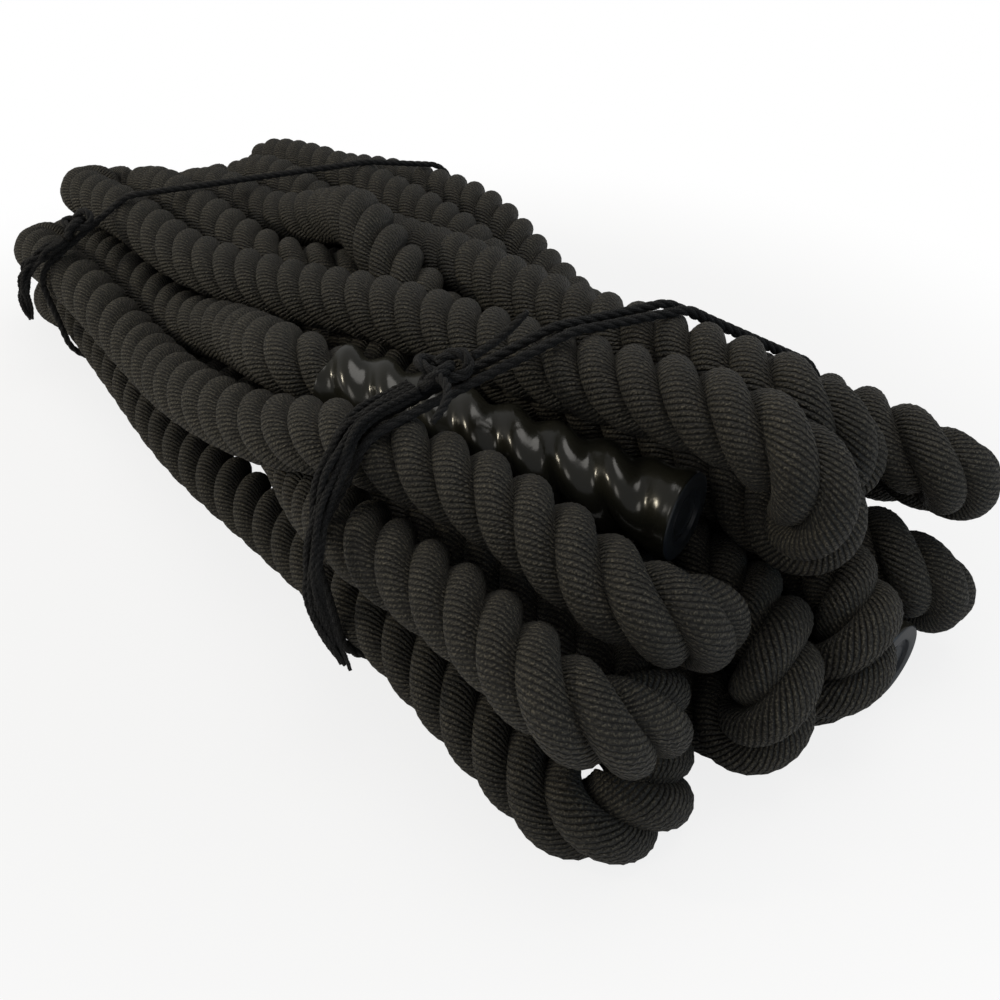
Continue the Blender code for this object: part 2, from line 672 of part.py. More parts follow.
def add_tassel(name, band, along, length, drift, root, collection, surface):
    """The loose yarns of a tie's end, hanging side by side over the side of the hank."""
    pitch = yarn_diameter + fit_gap
    start = along + knot_course(knot_tip)[0] + tie_diameter / 2 + 2 * fit_gap
    first_layer = tie_diameter / 2 + fit_gap + yarn_diameter / 2
    count = yarns_per_layer * tassel_layers
    columns = [(column - (yarns_per_layer - 1) / 2) * pitch for column in range(yarns_per_layer)]
    stations = np.linspace(0.0, 1.0, yarn_points)
    lifts = []
    for t in stations:
        over = first_layer + tassel_lift * smooth_step(t)
        asides = [drift * t * t + aside * (1 + tassel_spread_share * t) for aside in columns]
        lifts.append(over + row_lift(band, start + length * t, asides, over))
    for number in range(count):
        layer, column = divmod(number, yarns_per_layer)
        own_share = 1 - tassel_stagger_share * (number * 3 % count) / count
        points = []
        for t in stations * own_share:
            parted = 1 + tassel_spread_share * t
            points.append(band.point(start + length * t, columns[column] * parted + drift * t * t,
                                     np.interp(t, stations, lifts) + layer * pitch * parted))
        tube(f"{name}_{number + 1}", points, yarn_diameter, yarn_facets, surface, root, collection)


def row_lift(band, along, asides, over):
    """How far a whole row of yarns is lifted at one place, to clear the rope."""
    lift = 0.0
    for _ in range(clearing_rounds):
        lift += max(band.lacking(band.point(along, aside, over + lift), yarn_diameter / 2)[0]
                    for aside in asides)
    return lift


def add_tail(name, band, along, tip, way, length, bend_shares, root, collection, surface):
    """A short cut end of the tie, which leaves the knot at a tip of its course."""
    way, bend = np.array(way), np.array(bend_shares)
    begin = knot_middle(along) + knot_course(tip) + way * (tie_diameter / 2 + fit_gap)
    points = [band.point(*(begin + length * (way * t + bend * t * t)))
              for t in np.linspace(0.0, 1.0, tail_points)]
    tube(name, points, tie_diameter, tie_facets, surface, root, collection)


def add_near_tie(route, root, collection, surface):
    """Two turns that part from the knot, a tassel and two short cut ends."""
    bands = []
    for way, slant in zip((-0.5, 0.5), near_slant_shares):
        mean = sum(near_slant_shares) / len(near_slant_shares)
        at_edge = near_tie_x + mean * near_edge_y + way * tie_spacing
        bands.append(Band(route, at_edge - slant * near_edge_y, slant))
    for number, band in enumerate(bands):
        tube(f"near_band_{number + 1}", band.line(), tie_diameter, tie_facets, surface, root,
             collection, closed=True)
    band = bands[0]
    along = band.place_of(near_knot_y)
    add_knot("near_knot", band, along, root, collection, surface)
    add_tassel("near_tassel_yarn", band, along, near_tassel_length, near_tassel_drift, root,
               collection, surface)
    tails = zip(near_tail_tips, near_tail_ways, near_tail_lengths, near_tail_bend_shares)
    for number, (tip, way, length, bend_shares) in enumerate(tails):
        add_tail(f"near_tail_{number + 1}", band, along, tip, way, length, bend_shares, root,
                 collection, surface)


def add_far_tie(route, root, collection, surface):
    band = Band(route, far_tie_x, far_slant_share)
    tube("far_band", band.line(), tie_diameter, tie_facets, surface, root, collection, closed=True)
    along = band.place_of(far_knot_y)
    add_knot("far_knot", band, along, root, collection, surface)
    add_tassel("far_tassel_yarn", band, along, far_tassel_length, far_tassel_drift, root,
               collection, surface)


# The whole object

def add_hank(route, root, collection, cutters, surface):
    """The folded rope, from sleeve to sleeve, cut flat where it lies on the floor."""
    points = route[1:-1].copy()
    for end, inner in ((0, 1), (-1, -2)):
        inward = points[inner] - points[end]
        points[end] += inward / np.linalg.norm(inward) * fit_gap
    hank = meshed(tube("rope_hank", points, rope_diameter, hank_facets, surface, root, collection))
    hank.data.shade_smooth()
    low, high = points.min(axis=0), points.max(axis=0)
    spans = high - low + 2 * cutter_overrun
    bpy.ops.mesh.primitive_cube_add(size=1.0)
    floor = bpy.context.object
    floor.name = "floor_cutter"
    floor.scale = (spans[0], spans[1], cutter_overrun)
    floor.location = (*((low + high) / 2)[:2], underside_cut - cutter_overrun / 2)
    floor.hide_render = True
    floor.display_type = "WIRE"
    for holder in list(floor.users_collection):
        holder.objects.unlink(floor)
    cutters.objects.link(floor)
    floor.parent = root
    cut = hank.modifiers.new("flat underside", "BOOLEAN")
    cut.operation = "DIFFERENCE"
    cut.object = floor
    return hank


def centre_on_floor(root, collection):
    """Move everything so that the origin is under the middle of the object, on the floor."""
    bpy.context.view_layer.update()
    scene_graph = bpy.context.evaluated_depsgraph_get()
    corners = []
    for part in collection.objects:
        if part.type == "EMPTY":
            continue
        shape = part.evaluated_get(scene_graph)
        mesh = shape.to_mesh()
        places = np.empty(len(mesh.vertices) * 3)
        mesh.vertices.foreach_get("co", places)
        turned = places.reshape(-1, 3) @ np.array(shape.matrix_world.to_3x3()).T
        turned += np.array(shape.matrix_world.translation)
        corners += [turned.min(axis=0), turned.max(axis=0)]
        shape.to_mesh_clear()
    low, high = np.min(corners, axis=0), np.max(corners, axis=0)
    root.location = (-(low[0] + high[0]) / 2, -(low[1] + high[1]) / 2, -low[2])
    print("size:", [round(float(size), 4) for size in high - low])
    print("origin moved by:", [round(float(shift), 5) for shift in root.location])


def build():
    for old in list(bpy.data.objects):
        bpy.data.objects.remove(old)
    collection = bpy.data.collections.new("battle_rope")
    cutters = bpy.data.collections.new("cutters")
    for made in (collection, cutters):
        bpy.context.scene.collection.children.link(made)
    surfaces = {
        "rope": material("black rope", (0.020, 0.019, 0.016), 0.85),
        "sleeve": material("shrunk sleeve", (0.022, 0.021, 0.020), 0.28),
        "tie": material("tie yarn", (0.024, 0.022, 0.018), 0.9),
    }
    root = empty("hank_origin", None, collection)
    route = settled_route()
    length = walked_lengths(route)[-1]
    print(f"rope: {length:.2f} m, least gap to itself {least_gap(route) * 1000:.2f} mm")
    add_hank(route, root, collection, cutters, surfaces["rope"])
    for name, axis in zip(("upper", "lower"), handle_axes()):
        add_handle(name, axis, root, collection, surfaces)
    add_near_tie(route, root, collection, surfaces["tie"])
    add_far_tie(route, root, collection, surfaces["tie"])
    centre_on_floor(root, collection)


build()
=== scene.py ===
# %% [markdown]
# # A folded battle rope
#
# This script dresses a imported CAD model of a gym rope: a thick laid rope, folded to and fro into a
# hank, with a shrunk sleeve on each end and two ties of thin cord that end in tassels of yarn.
# The CAD model gives every piece its place. Here each piece gets the shape that a close look shows.

# %% Load the frame
import math

import bpy
import numpy as np
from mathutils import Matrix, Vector


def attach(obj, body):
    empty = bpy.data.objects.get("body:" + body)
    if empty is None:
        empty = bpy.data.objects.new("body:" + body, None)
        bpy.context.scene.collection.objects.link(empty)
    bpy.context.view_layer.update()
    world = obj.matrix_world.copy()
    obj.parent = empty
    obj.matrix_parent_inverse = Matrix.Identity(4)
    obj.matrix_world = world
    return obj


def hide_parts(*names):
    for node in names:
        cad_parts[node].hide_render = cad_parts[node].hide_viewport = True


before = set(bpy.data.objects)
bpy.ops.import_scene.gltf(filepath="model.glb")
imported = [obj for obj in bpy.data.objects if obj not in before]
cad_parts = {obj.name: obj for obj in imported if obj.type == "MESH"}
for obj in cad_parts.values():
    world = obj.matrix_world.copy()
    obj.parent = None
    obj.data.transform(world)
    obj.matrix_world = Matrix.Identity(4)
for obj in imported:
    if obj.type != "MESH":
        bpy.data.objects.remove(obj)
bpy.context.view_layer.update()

# %% [markdown]
# ## Shader maths in Python
#
# A material's pattern is arithmetic on sockets. Drawn by hand it is a web of small Math nodes,
# which is hard to read. Wrapping a socket in a class whose operators add those nodes lets the
# pattern be written as the formula that it is. Every other kind of node comes from the one method
# `node`.

# %% A socket that can be added and multiplied
class Socket:
    """An output of a material's nodes. Python's operators on it add Math nodes."""

    def __init__(self, tree, source=None):
        self.tree, self.source = tree, source

    def node(self, kind, settings, inputs, output=0):
        """Adds a node with its settings, fills its inputs and gives one of its outputs."""
        made = self.tree.nodes.new("ShaderNode" + kind)
        for name, value in settings.items():
            setattr(made, name, value)
        for name, value in inputs.items():
            if isinstance(value, Socket):
                self.tree.links.new(value.source, made.inputs[name])
            else:
                made.inputs[name].default_value = value
        return Socket(self.tree, made.outputs[output])

    def output(self, number):
        """Another output of the same node."""
        return Socket(self.tree, self.source.node.outputs[number])

    def __add__(self, other):
        return maths("ADD", self, other)

    def __sub__(self, other):
        return maths("SUBTRACT", self, other)

    def __rsub__(self, other):
        return maths("SUBTRACT", other, self)

    def __mul__(self, other):
        return maths("MULTIPLY", self, other)

    def __truediv__(self, other):
        return maths("DIVIDE", self, other)

    def __pow__(self, other):
        return maths("POWER", self, other)

    __radd__, __rmul__ = __add__, __mul__

    def noise(self, scale, detail):
        """A noise texture at this place, from 0 to 1."""
        return self.node("TexNoise", {}, {"Vector": self, "Scale": scale, "Detail": detail})

    def mixed(self, first, second):
        """Between two colours, by this socket from 0 to 1."""
        settings = {"data_type": "RGBA", "clamp_factor": True}
        colours = {6: (*first, 1.0), 7: (*second, 1.0)}      # the numbers of its colour inputs
        return self.node("Mix", settings, {0: self, **colours}, output=2)


def maths(operation, *values):
    """A Math node on sockets and numbers, in the order given."""
    start = next(value for value in values if isinstance(value, Socket))
    return start.node("Math", {"operation": operation}, dict(enumerate(values)))


def new_material(name):
    """A material, its one Principled shader, and a socket to start its pattern from."""
    made = bpy.data.materials.new(name)
    made.use_nodes = True
    return made, made.node_tree.nodes["Principled BSDF"], Socket(made.node_tree)


def feed(shader, name, value):
    """Links a socket to the shader, or sets a plain number or colour."""
    if isinstance(value, Socket):
        value.tree.links.new(value.source, shader.inputs[name])
    else:
        shader.inputs[name].default_value = value


# %% [markdown]
# Every mesh, lamp and camera needs an object that puts it in the scene, and lamps and cameras are
# turned towards something besides. They look along their own -Z, with Y up.

# %% Put things in the scene
def placed(name, data):
    """An object for a mesh, a lamp or a camera, linked into the scene."""
    made = bpy.data.objects.new(name, data)
    bpy.context.scene.collection.objects.link(made)
    return made


def aim(thing, place, way):
    """Stands a lamp or a camera at a place and turns it to look along a way."""
    thing.location = place
    thing.rotation_mode = "QUATERNION"
    thing.rotation_quaternion = way.to_track_quat("-Z", "Y")


# %% [markdown]
# ## The camera
#
# The photograph was taken from a little above, close to the near loops, so the rope shrinks quickly
# towards its far end. The camera's place was found by fitting the rope's known thickness near and
# far.

# %% Set up the camera
azimuth, elevation = math.radians(52.3), math.radians(34.7)
camera_place = (0.5293, -0.3065, 0.3526)

ahead = Vector((-math.sin(azimuth) * math.cos(elevation), math.cos(azimuth) * math.cos(elevation),
                -math.sin(elevation)))
camera_data = bpy.data.cameras.new("photograph_view")
camera_data.sensor_width, camera_data.lens = 36.0, 36.0
camera_data.clip_start = 0.02
camera = placed("photograph_view", camera_data)
aim(camera, camera_place, ahead)
bpy.context.scene.camera = camera
print("camera looks along", [round(number, 3) for number in ahead])

# %% [markdown]
# ## The route of the rope
#
# The real rope is one length of cord, folded so that every run ends in a loop. The CAD model lays
# its runs out by their places in three cross-sections, joins them with loops, and lets the line
# settle until no stretch is in another. The same rules are repeated here, because the rope's
# surface has to follow that line exactly. Lengths are in metres, in the hank's own axes.

# %% The rope and its folds
rope_diameter = 0.038
strand_count = 3              # of the rope, and of every cord tied round it
fit_gap = 0.0003              # between solids that touch on the real rope
self_gap = 0.0009             # least gap of the folded rope to itself
underside_cut = rope_diameter / 10

far_run_end = -0.3116         # X where the runs turn into the far loops
near_run_end = 0.3192         # X where they turn into the near loops
far_tie_x = -0.1786
near_tie_x = 0.2356
fan_start = -0.190            # X where the wide far end starts to draw together
fan_end = 0.209
splay_end = 0.323             # X where the near loops are spread again
belly_length = 0.134          # over which the runs bulge between the ties
tie_draw_length = 0.066       # over which a tie draws and lifts them
run_pitch = 0.0396            # least spacing of neighbouring runs
loop_width = 0.0494           # least width of a loop, on its centre line
loop_reach = 0.0285           # how far a loop runs on past its runs
least_bend_radius = 0.0260
straight_spacing = 0.11       # greatest spacing of the points of the centre line
stations_per_run = 7
points_per_turn = 5
point_count = 240             # of the finished centre line
bend_spacing = 0.5            # greatest bend at one of them, in radians
settling_rounds = 400
rounding_passes = 3
polishing_rounds = 160

edge_run = 5                  # along the open side, where nothing leans on it
tie_draw_share = 0.05         # how much a tie draws the runs together
belly_share = 0.04            # how much they bulge between the ties
yield_share = 0.15            # how far a run on the floor gives way to the others
edge_yield_share = 0.05
floor_band_share = 0.1        # a run this near the floor, in diameters, lies on it
sag_step = 0.0001             # how far a run sinks in each round of settling
sag_end = 0.20                # X beyond which the handles' ends hold the runs up
sag_fade = 0.10
sagging_share = 0.8           # of the rounds
side_shares = (-2.85, 4.3)    # how far aside the ties let the runs lie, in diameters

# The handles
sleeve_length = 0.200
sleeve_wall = 0.0010          # between the lobes
lobe_height = 0.0014          # how far the strands show through the sleeve
end_flare = 0.0006            # the closed end stands out by this
core_diameter = 0.0346        # the strands, squeezed by the sleeve
sleeve_diameter = core_diameter + 2 * (fit_gap + sleeve_wall + lobe_height + end_flare)
upper_handle_end = 0.317      # X of the closed end of the upper handle
lower_handle_end = 0.386
# (y, z) of a handle's closed end and of its mouth, in rope diameters
upper_handle_shares = ((-0.40, 2.86), (-1.90, 2.95))
lower_handle_shares = ((1.62, 0.80), (1.30, 0.78))

# The ties, where they concern the route
tie_diameter = 0.0048
tie_room = 0.0016             # spare room under the rope, where a tie passes
near_slant_shares = (0.20, 0.24)    # change of X over change of Y, for its two turns
near_slant = sum(near_slant_shares) / len(near_slant_shares)
far_slant_share = 0.20

# Where each run lies, as (y, z) in rope diameters: at the far end, at the near tie and at the
# near end. The last two shares are how far its own loops lie past the ends of the runs.
run_shares = [
    ((-1.80, 1.45), (-1.20, 2.70), (-0.40, 2.85), -0.70, 0.00),    # upper handle
    ((-2.85, 1.45), (-2.20, 2.15), (-1.95, 2.40), -0.70, 0.35),
    ((0.28, 1.42), (-1.15, 2.05), (-0.75, 1.35), -1.60, 0.35),
    ((-0.76, 1.42), (-1.70, 1.35), (-1.65, 1.40), -1.60, 0.35),
    ((-1.56, 0.50), (-2.55, 1.40), (-2.70, 1.60), -0.65, 0.35),
    ((-2.60, 0.50), (-2.60, 0.50), (-2.65, 0.50), -0.65, 0.55),
    ((-0.52, 0.50), (-1.56, 0.50), (-1.65, 0.50), -1.20, 0.55),
    ((0.52, 0.50), (-0.52, 0.50), (-0.85, 0.50), -1.20, 0.85),
    ((1.56, 0.50), (-0.60, 1.35), (-0.02, 1.35), -1.60, 0.85),
    ((1.32, 1.42), (0.50, 0.50), (0.62, 0.50), -1.60, 0.70),
    ((-0.24, 2.30), (0.95, 1.45), (1.15, 1.50), -0.30, 0.70),
    ((-1.28, 2.30), (-0.20, 3.05), (-0.05, 3.65), -0.30, 0.40),
    ((0.80, 2.30), (0.15, 2.15), (0.60, 1.75), -0.15, 0.40),
    ((1.84, 2.30), (0.95, 2.75), (0.95, 3.10), -0.15, -0.10),
    ((2.88, 2.33), (1.45, 2.05), (1.55, 2.30), 0.40, -0.10),
    ((3.92, 2.25), (2.50, 2.05), (2.20, 2.75), 0.40, 0.40),
    ((3.40, 1.42), (3.00, 1.35), (2.95, 2.05), -1.50, 0.40),
    ((2.36, 1.42), (2.55, 0.50), (3.00, 0.80), -1.50, 0.75),
    ((2.60, 0.50), (2.00, 1.35), (2.35, 1.60), -1.30, 0.75),
    ((3.64, 0.50), (1.25, 0.78), (1.60, 0.78), -1.30, 0.00),       # lower handle
]
print("runs:", len(run_shares))

# %% [markdown]
# A run changes its place on the way: the far end is a wide fan, the near tie draws the hank
# together, and past it the loops spread again. So each run's place at any X is blended from three
# listed ones, and then the runs of one cross-section are pushed apart like round pipes in a
# crate.

# %% Cross-sections of the hank
section_rounds = 120          # of pushing the runs of one cross-section apart
section_push = 0.7            # of what they lack, in each round
handle_blend_share = 3        # a run joins its handle's axis over so many diameters
handle_blend_start = 1.3      # from so many of these lengths before the handle's mouth
held_blend = 0.99             # a run that has joined it this far doesn't give way


def smooth_step(t):
    """From 0 to 1, level at both ends."""
    t = np.clip(t, 0.0, 1.0)
    return t * t * (3.0 - 2.0 * t)


def tie_swell(x, y):
    """1 along each tie, which crosses the runs at a slant, and 0 away from both."""
    near = x - near_tie_x - y * near_slant
    far = x - far_tie_x - y * far_slant_share
    return np.exp(-(near / tie_draw_length) ** 2) + np.exp(-(far / tie_draw_length) ** 2)


def floor_height(x, y):
    """The axis of a run that lies on the floor, lifted where a tie passes under it."""
    return rope_diameter / 2 + tie_swell(x, y) * (tie_diameter + underside_cut + tie_room)


def handle_axis(end_x, shares):
    """A handle's closed end, its mouth, and the direction from the one to the other."""
    closed, mouth = (np.array(share) * rope_diameter for share in shares)
    along = math.sqrt(sleeve_length ** 2 - (mouth - closed) @ (mouth - closed))
    end = np.array((end_x, *closed))
    start = np.array((end_x - along, *mouth))
    return end, start, (start - end) / sleeve_length


def handle_axes():
    """Both handles, the upper one first."""
    return (handle_axis(upper_handle_end, upper_handle_shares),
            handle_axis(lower_handle_end, lower_handle_shares))


def run_limits(row):
    """The X where a run turns into its far loop, and into its near one."""
    return far_run_end - row[3] * rope_diameter, near_run_end + row[4] * rope_diameter


def sag_at(x):
    """How far a run sinks in a round, at this X."""
    return sag_step * smooth_step((sag_end - x) / sag_fade)


# %% [markdown]
# Two runs that are too near part along the line between them. A run on the floor or in a handle
# gives way less than its neighbour, or not at all. In the first rounds the free ones sink as well.

# %% Push the runs of one cross-section apart
def settle(slots, floor, held, present, sag):
    """Push round runs apart, in one cross-section, until each has its own room."""
    yields = np.where(slots[:, 1] < floor + floor_band_share * rope_diameter, yield_share, 1.0)
    yields[edge_run] = edge_yield_share
    yields[held] = 0.0
    total = yields[:, None] + yields[None]
    give = yields[:, None] / np.where(total > 0, total, 1.0) * (present[:, None] & present[None])
    clear_of_itself = np.eye(len(slots)) * 10 * run_pitch
    for count in range(section_rounds):
        if count < sagging_share * section_rounds:
            slots[:, 1] -= np.where(yields > 0, sag, 0.0)
        apart = slots[:, None] - slots[None]
        distance = np.sqrt((apart ** 2).sum(-1)) + clear_of_itself
        push = np.clip(run_pitch - distance, 0.0, None) * give
        slots = slots + section_push * (apart / distance[..., None] * push[..., None]).sum(1)
        slots[:, 1] = np.maximum(slots[:, 1], floor)
    return slots


def cross_section(x):
    """The (y, z) of all the runs at one X."""
    far, waist, near = (np.array([row[k] for row in run_shares]) * rope_diameter for k in range(3))
    fan = smooth_step((x - fan_start) / (fan_end - fan_start))
    splay = smooth_step((x - fan_end) / (splay_end - fan_end))
    slots = far + (waist - far) * fan + (near - waist) * splay
    bulge = belly_share * math.exp(-(x / belly_length) ** 2)
    slots[:, 0] *= 1 - tie_draw_share * tie_swell(x, 0.0) + bulge
    floor = floor_height(x, slots[:, 0])
    slots[:, 1] += floor - rope_diameter / 2
    held = []
    for run, (end, start, back) in zip((0, len(slots) - 1), handle_axes()):
        blend = float(smooth_step((x - start[0]) / (handle_blend_share * rope_diameter)
                                  + handle_blend_start))
        on_axis = (end + back * (x - end[0]) / back[0])[1:]
        slots[run] += (on_axis - slots[run]) * blend
        if blend > held_blend:
            held.append(run)
    limits = np.array([run_limits(row) for row in run_shares])
    present = (limits[:, 0] - rope_diameter / 2 < x) & (x < limits[:, 1] + rope_diameter / 2)
    return settle(slots, floor, held, present, sag_at(x))


print("top of the hank at the near tie:", round(float(cross_section(near_tie_x)[:, 1].max()), 4))

# %% [markdown]
# A loop is a half circle between two runs, widened where they lie so close that a rope of this
# thickness couldn't turn between them.

# %% Join the runs with loops
loop_swell, loop_swell_power = 1.6, 0.7        # how a narrow loop is widened
wide_loop_share = 0.3         # of its spare radius, by which a wide loop reaches further
mouth_room_share = 1.6        # a run's stations end so many diameters before a handle's mouth


def turn(start, stop, x, side):
    """The points of one loop, from the end of one run to the start of the next."""
    middle, half = (start + stop) / 2, (start - stop) / 2
    radius = np.linalg.norm(half)
    widen = max(0.0, loop_width / 2 - radius)
    reach = loop_reach + wide_loop_share * max(0.0, radius - loop_width / 2)
    points = []
    for k in range(1, points_per_turn + 1):
        angle = math.pi * k / (points_per_turn + 1)
        swell = loop_swell * widen * math.sin(angle) ** loop_swell_power
        across = math.cos(angle) * (radius + swell)
        out = side * reach * math.sin(angle)
        points.append(np.array((x + out, *(middle + half / radius * across))))
    return points


def drafted_route():
    """The whole centre line as laid down, before it settles: points, and the run of each."""
    upper, lower = handle_axes()
    last = len(run_shares) - 1
    points = [upper[0], upper[1], upper[1] + upper[2] * rope_diameter]
    runs = [0, 0, 0]
    for run, row in enumerate(run_shares):
        far, near = run_limits(row)
        stations = np.linspace(far, near, stations_per_run)
        if run % 2 == 0:
            stations = stations[::-1]
        mouth = {0: upper[1][0], last: lower[1][0]}.get(run, math.inf)
        for x in stations:
            if x < mouth - mouth_room_share * rope_diameter:
                points.append(np.array((x, *cross_section(x)[run])))
                runs.append(run)
        if run < last:
            x, side = (near, 1) if run % 2 else (far, -1)
            here = cross_section(x)
            points += turn(here[run], here[run + 1], x, side)
            runs += [run] * points_per_turn
    points += [lower[1] + lower[2] * rope_diameter, lower[1], lower[0]]
    runs += [last] * 3
    return np.array(points), np.array(runs)


draft, draft_runs = drafted_route()
print("drafted route:", len(draft), "points")

# %% [markdown]
# The drafted points are joined by a smooth curve, which bends through each of them without a
# corner. Its steps are timed by the distances between the points, so that it doesn't overshoot
# where a long run meets the close points of a loop.

# %% A smooth curve through points
def smooth_curve(points, steps):
    """A smooth curve through the points, in so many steps after each."""
    padded = np.vstack([2 * points[0] - points[1], points, 2 * points[-1] - points[-2]])
    curve = []
    for k, count in enumerate(steps):
        a, b, c, d = padded[k:k + 4]
        ab, bc, cd = (math.sqrt(np.linalg.norm(v)) for v in (b - a, c - b, d - c))
        leave = bc * ((b - a) / ab - (c - a) / (ab + bc) + (c - b) / bc)
        arrive = bc * ((c - b) / bc - (d - b) / (bc + cd) + (d - c) / cd)
        for t in np.arange(count) / count:
            curve.append((2 * t ** 3 - 3 * t ** 2 + 1) * b + (t ** 3 - 2 * t ** 2 + t) * leave
                         + (3 * t ** 2 - 2 * t ** 3) * c + (t ** 3 - t ** 2) * arrive)
    return np.array(curve + [points[-1]])


def walked_lengths(points):
    """The distance walked along the line to each point."""
    return np.concatenate([[0.0], np.cumsum(np.linalg.norm(np.diff(points, axis=0), axis=1))])


fine_step_share = 0.42        # greatest step of the fine line, in diameters


def fine_line(points, runs):
    """The drafted route in short steps, the places of its points there, and each step's run."""
    gaps = np.linalg.norm(np.diff(points, axis=0), axis=1)
    steps = np.maximum(2, np.ceil(gaps / (fine_step_share * rope_diameter))).astype(int)
    curve = smooth_curve(points, steps)
    marks = np.concatenate([[0], np.cumsum(steps)])
    for first, final in ((0, 2), (len(points) - 3, len(points) - 1)):      # straight in the handles
        along = np.linspace(0.0, 1.0, marks[final] - marks[first] + 1)[:, None]
        curve[marks[first]:marks[final] + 1] = points[first] * (1 - along) + points[final] * along
    places = np.searchsorted(marks, np.arange(len(curve)), side="right") - 1
    return curve, marks, runs[places]


print("fine line:", len(fine_line(draft, draft_runs)[0]), "points")

# %% [markdown]
# A drafted line still runs into itself where loops cross. A physics simulation could part them, but
# it is slow and hard to repeat exactly. A few hundred rounds of plain rules do it. Points that are
# too near each other move apart, and so do points a short way apart along the rope, where it would
# bend too sharply. Neighbours average each other, which keeps the cord stiff. In the first rounds
# every free run also sinks a little, as its weight would draw it down.

# %% What may not come too near
apart_along_share = 2.2       # only points so many diameters apart along the rope can touch
bend_span_shares = (0.7, 2.0)     # from and to how many diameters a bend is measured


def touching(points, reach):
    """The pairs of points that lie near each other but far apart along the rope."""
    walked = walked_lengths(points)
    apart = np.sqrt(((points[:, None] - points[None]) ** 2).sum(-1))
    along = walked[None] - walked[:, None]
    return np.nonzero((apart < reach) & (along > apart_along_share * rope_diameter))


def bent(points):
    """Pairs of points a short way apart along the rope, and how near a bend may bring them."""
    walked = walked_lengths(points)
    along = walked[None] - walked[:, None]
    shortest, longest = (share * rope_diameter for share in bend_span_shares)
    i, j = np.nonzero((along > shortest) & (along < longest))
    turned = np.minimum(along[i, j] / (2 * least_bend_radius), math.pi / 2)
    return i, j, 2 * least_bend_radius * np.sin(turned)[:, None]


def parted(points, i, j, need, free):
    """How each point moves where a pair is nearer than it needs, by how free the two are."""
    total = np.maximum(free[i] + free[j], 1e-9)
    apart = points[i] - points[j]
    distance = np.linalg.norm(apart, axis=1, keepdims=True)
    push = apart / distance * np.clip(need - distance, 0.0, None)
    move, strongest = np.zeros_like(points), np.zeros(len(points))
    for side, way, share in ((i, 1.0, free[i] / total), (j, -1.0, free[j] / total)):
        np.add.at(move, side, way * push * share)
        np.maximum.at(strongest, side, np.linalg.norm(push * share, axis=1))
    size = np.linalg.norm(move, axis=1)
    return move * (np.minimum(size, strongest) / np.maximum(size, 1e-12))[:, None]


# %% [markdown]
# The settled line has more points than a cord's solid needs, so it is thinned to a few hundred that
# lie closer where it bends. Their straight chords cut the corners, and a last polish parts those.

# %% Thin and polish
polish_reach_share = 1.5      # pairs of samples within so many diameters are watched
polish_push = 0.8             # of what they lack, in each round


def thinned(curve, count):
    """So many points of the curve, closer together where it bends."""
    steps = np.diff(curve, axis=0)
    lengths = np.linalg.norm(steps, axis=1)
    ahead = steps / lengths[:, None]
    bends = np.arccos(np.clip((ahead[1:] * ahead[:-1]).sum(1), -1.0, 1.0))
    measure = lengths / straight_spacing
    measure[1:] += bends / (2 * bend_spacing)
    measure[:-1] += bends / (2 * bend_spacing)
    passed = np.concatenate([[0.0], np.cumsum(measure)])
    places = np.linspace(0.0, passed[-1], count)
    return np.stack([np.interp(places, passed, curve[:, axis]) for axis in range(3)], axis=1)


def shares_along(points, spacing):
    """Samples of the straight stretches: the stretch of each, and its share of the stretch."""
    lengths = np.linalg.norm(np.diff(points, axis=0), axis=1)
    counts = np.maximum(2, np.ceil(lengths / spacing)).astype(int)
    first = np.repeat(np.arange(len(counts)), counts)
    return first, np.concatenate([np.arange(count) / count for count in counts])[:, None]


def polished(points):
    """Ease the few control points apart, where their straight chords still come too near."""
    points = points.copy()
    first, share = shares_along(points, rope_diameter / 4)
    radius = np.full((len(first), 1), (rope_diameter + self_gap) / 2)
    radius[first == 0] = radius[first == len(points) - 2] = sleeve_diameter / 2 + fit_gap
    free = np.ones((len(points), 1))
    free[:3] = free[-3:] = 0.0
    samples = points[first] * (1 - share) + points[first + 1] * share
    i, j = touching(samples, polish_reach_share * rope_diameter)
    near, later, chord = bent(points)
    for _ in range(polishing_rounds):
        samples = points[first] * (1 - share) + points[first + 1] * share
        apart = samples[i] - samples[j]
        distance = np.linalg.norm(apart, axis=1, keepdims=True)
        lacking = np.clip(radius[i] + radius[j] - distance, 0.0, None)
        push = apart / distance * lacking
        moves, weight = np.zeros_like(points), np.full((len(points), 1), 1e-9)
        for side, way in ((i, 0.5), (j, -0.5)):
            for end, part in ((first[side], 1 - share[side]), (first[side] + 1, share[side])):
                np.add.at(moves, end, way * push * part)
                np.add.at(weight, end, (lacking > 0) * part ** 2)
        sunk = floor_height(samples[:, 0], samples[:, 1]) - samples[:, 2]
        raised = np.clip(sunk, 0.0, None)[:, None] * np.array((0.0, 0.0, 1.0))
        for end, part in ((first, 1 - share), (first + 1, share)):
            np.add.at(moves, end, raised * part)
            np.add.at(weight, end, (raised[:, 2:] > 0) * part ** 2)
        apart = points[near] - points[later]
        distance = np.linalg.norm(apart, axis=1, keepdims=True)
        push = apart / distance * np.clip(chord - distance, 0.0, None)
        for side, way in ((near, 0.5), (later, -0.5)):
            np.add.at(moves, side, way * push)
            np.add.at(weight, side, chord > distance)
        points += polish_push * free * moves / np.maximum(weight, 1.0)
        floor = floor_height(points[:, 0], points[:, 1])
        points[:, 2] = np.where(free[:, 0] > 0, np.maximum(points[:, 2], floor), points[:, 2])
    return points


# %% [markdown]
# With all the rules at hand, the drafted line settles. The handles stay where they are, and the run
# on the open side gives way only a little, since nothing leans on it.

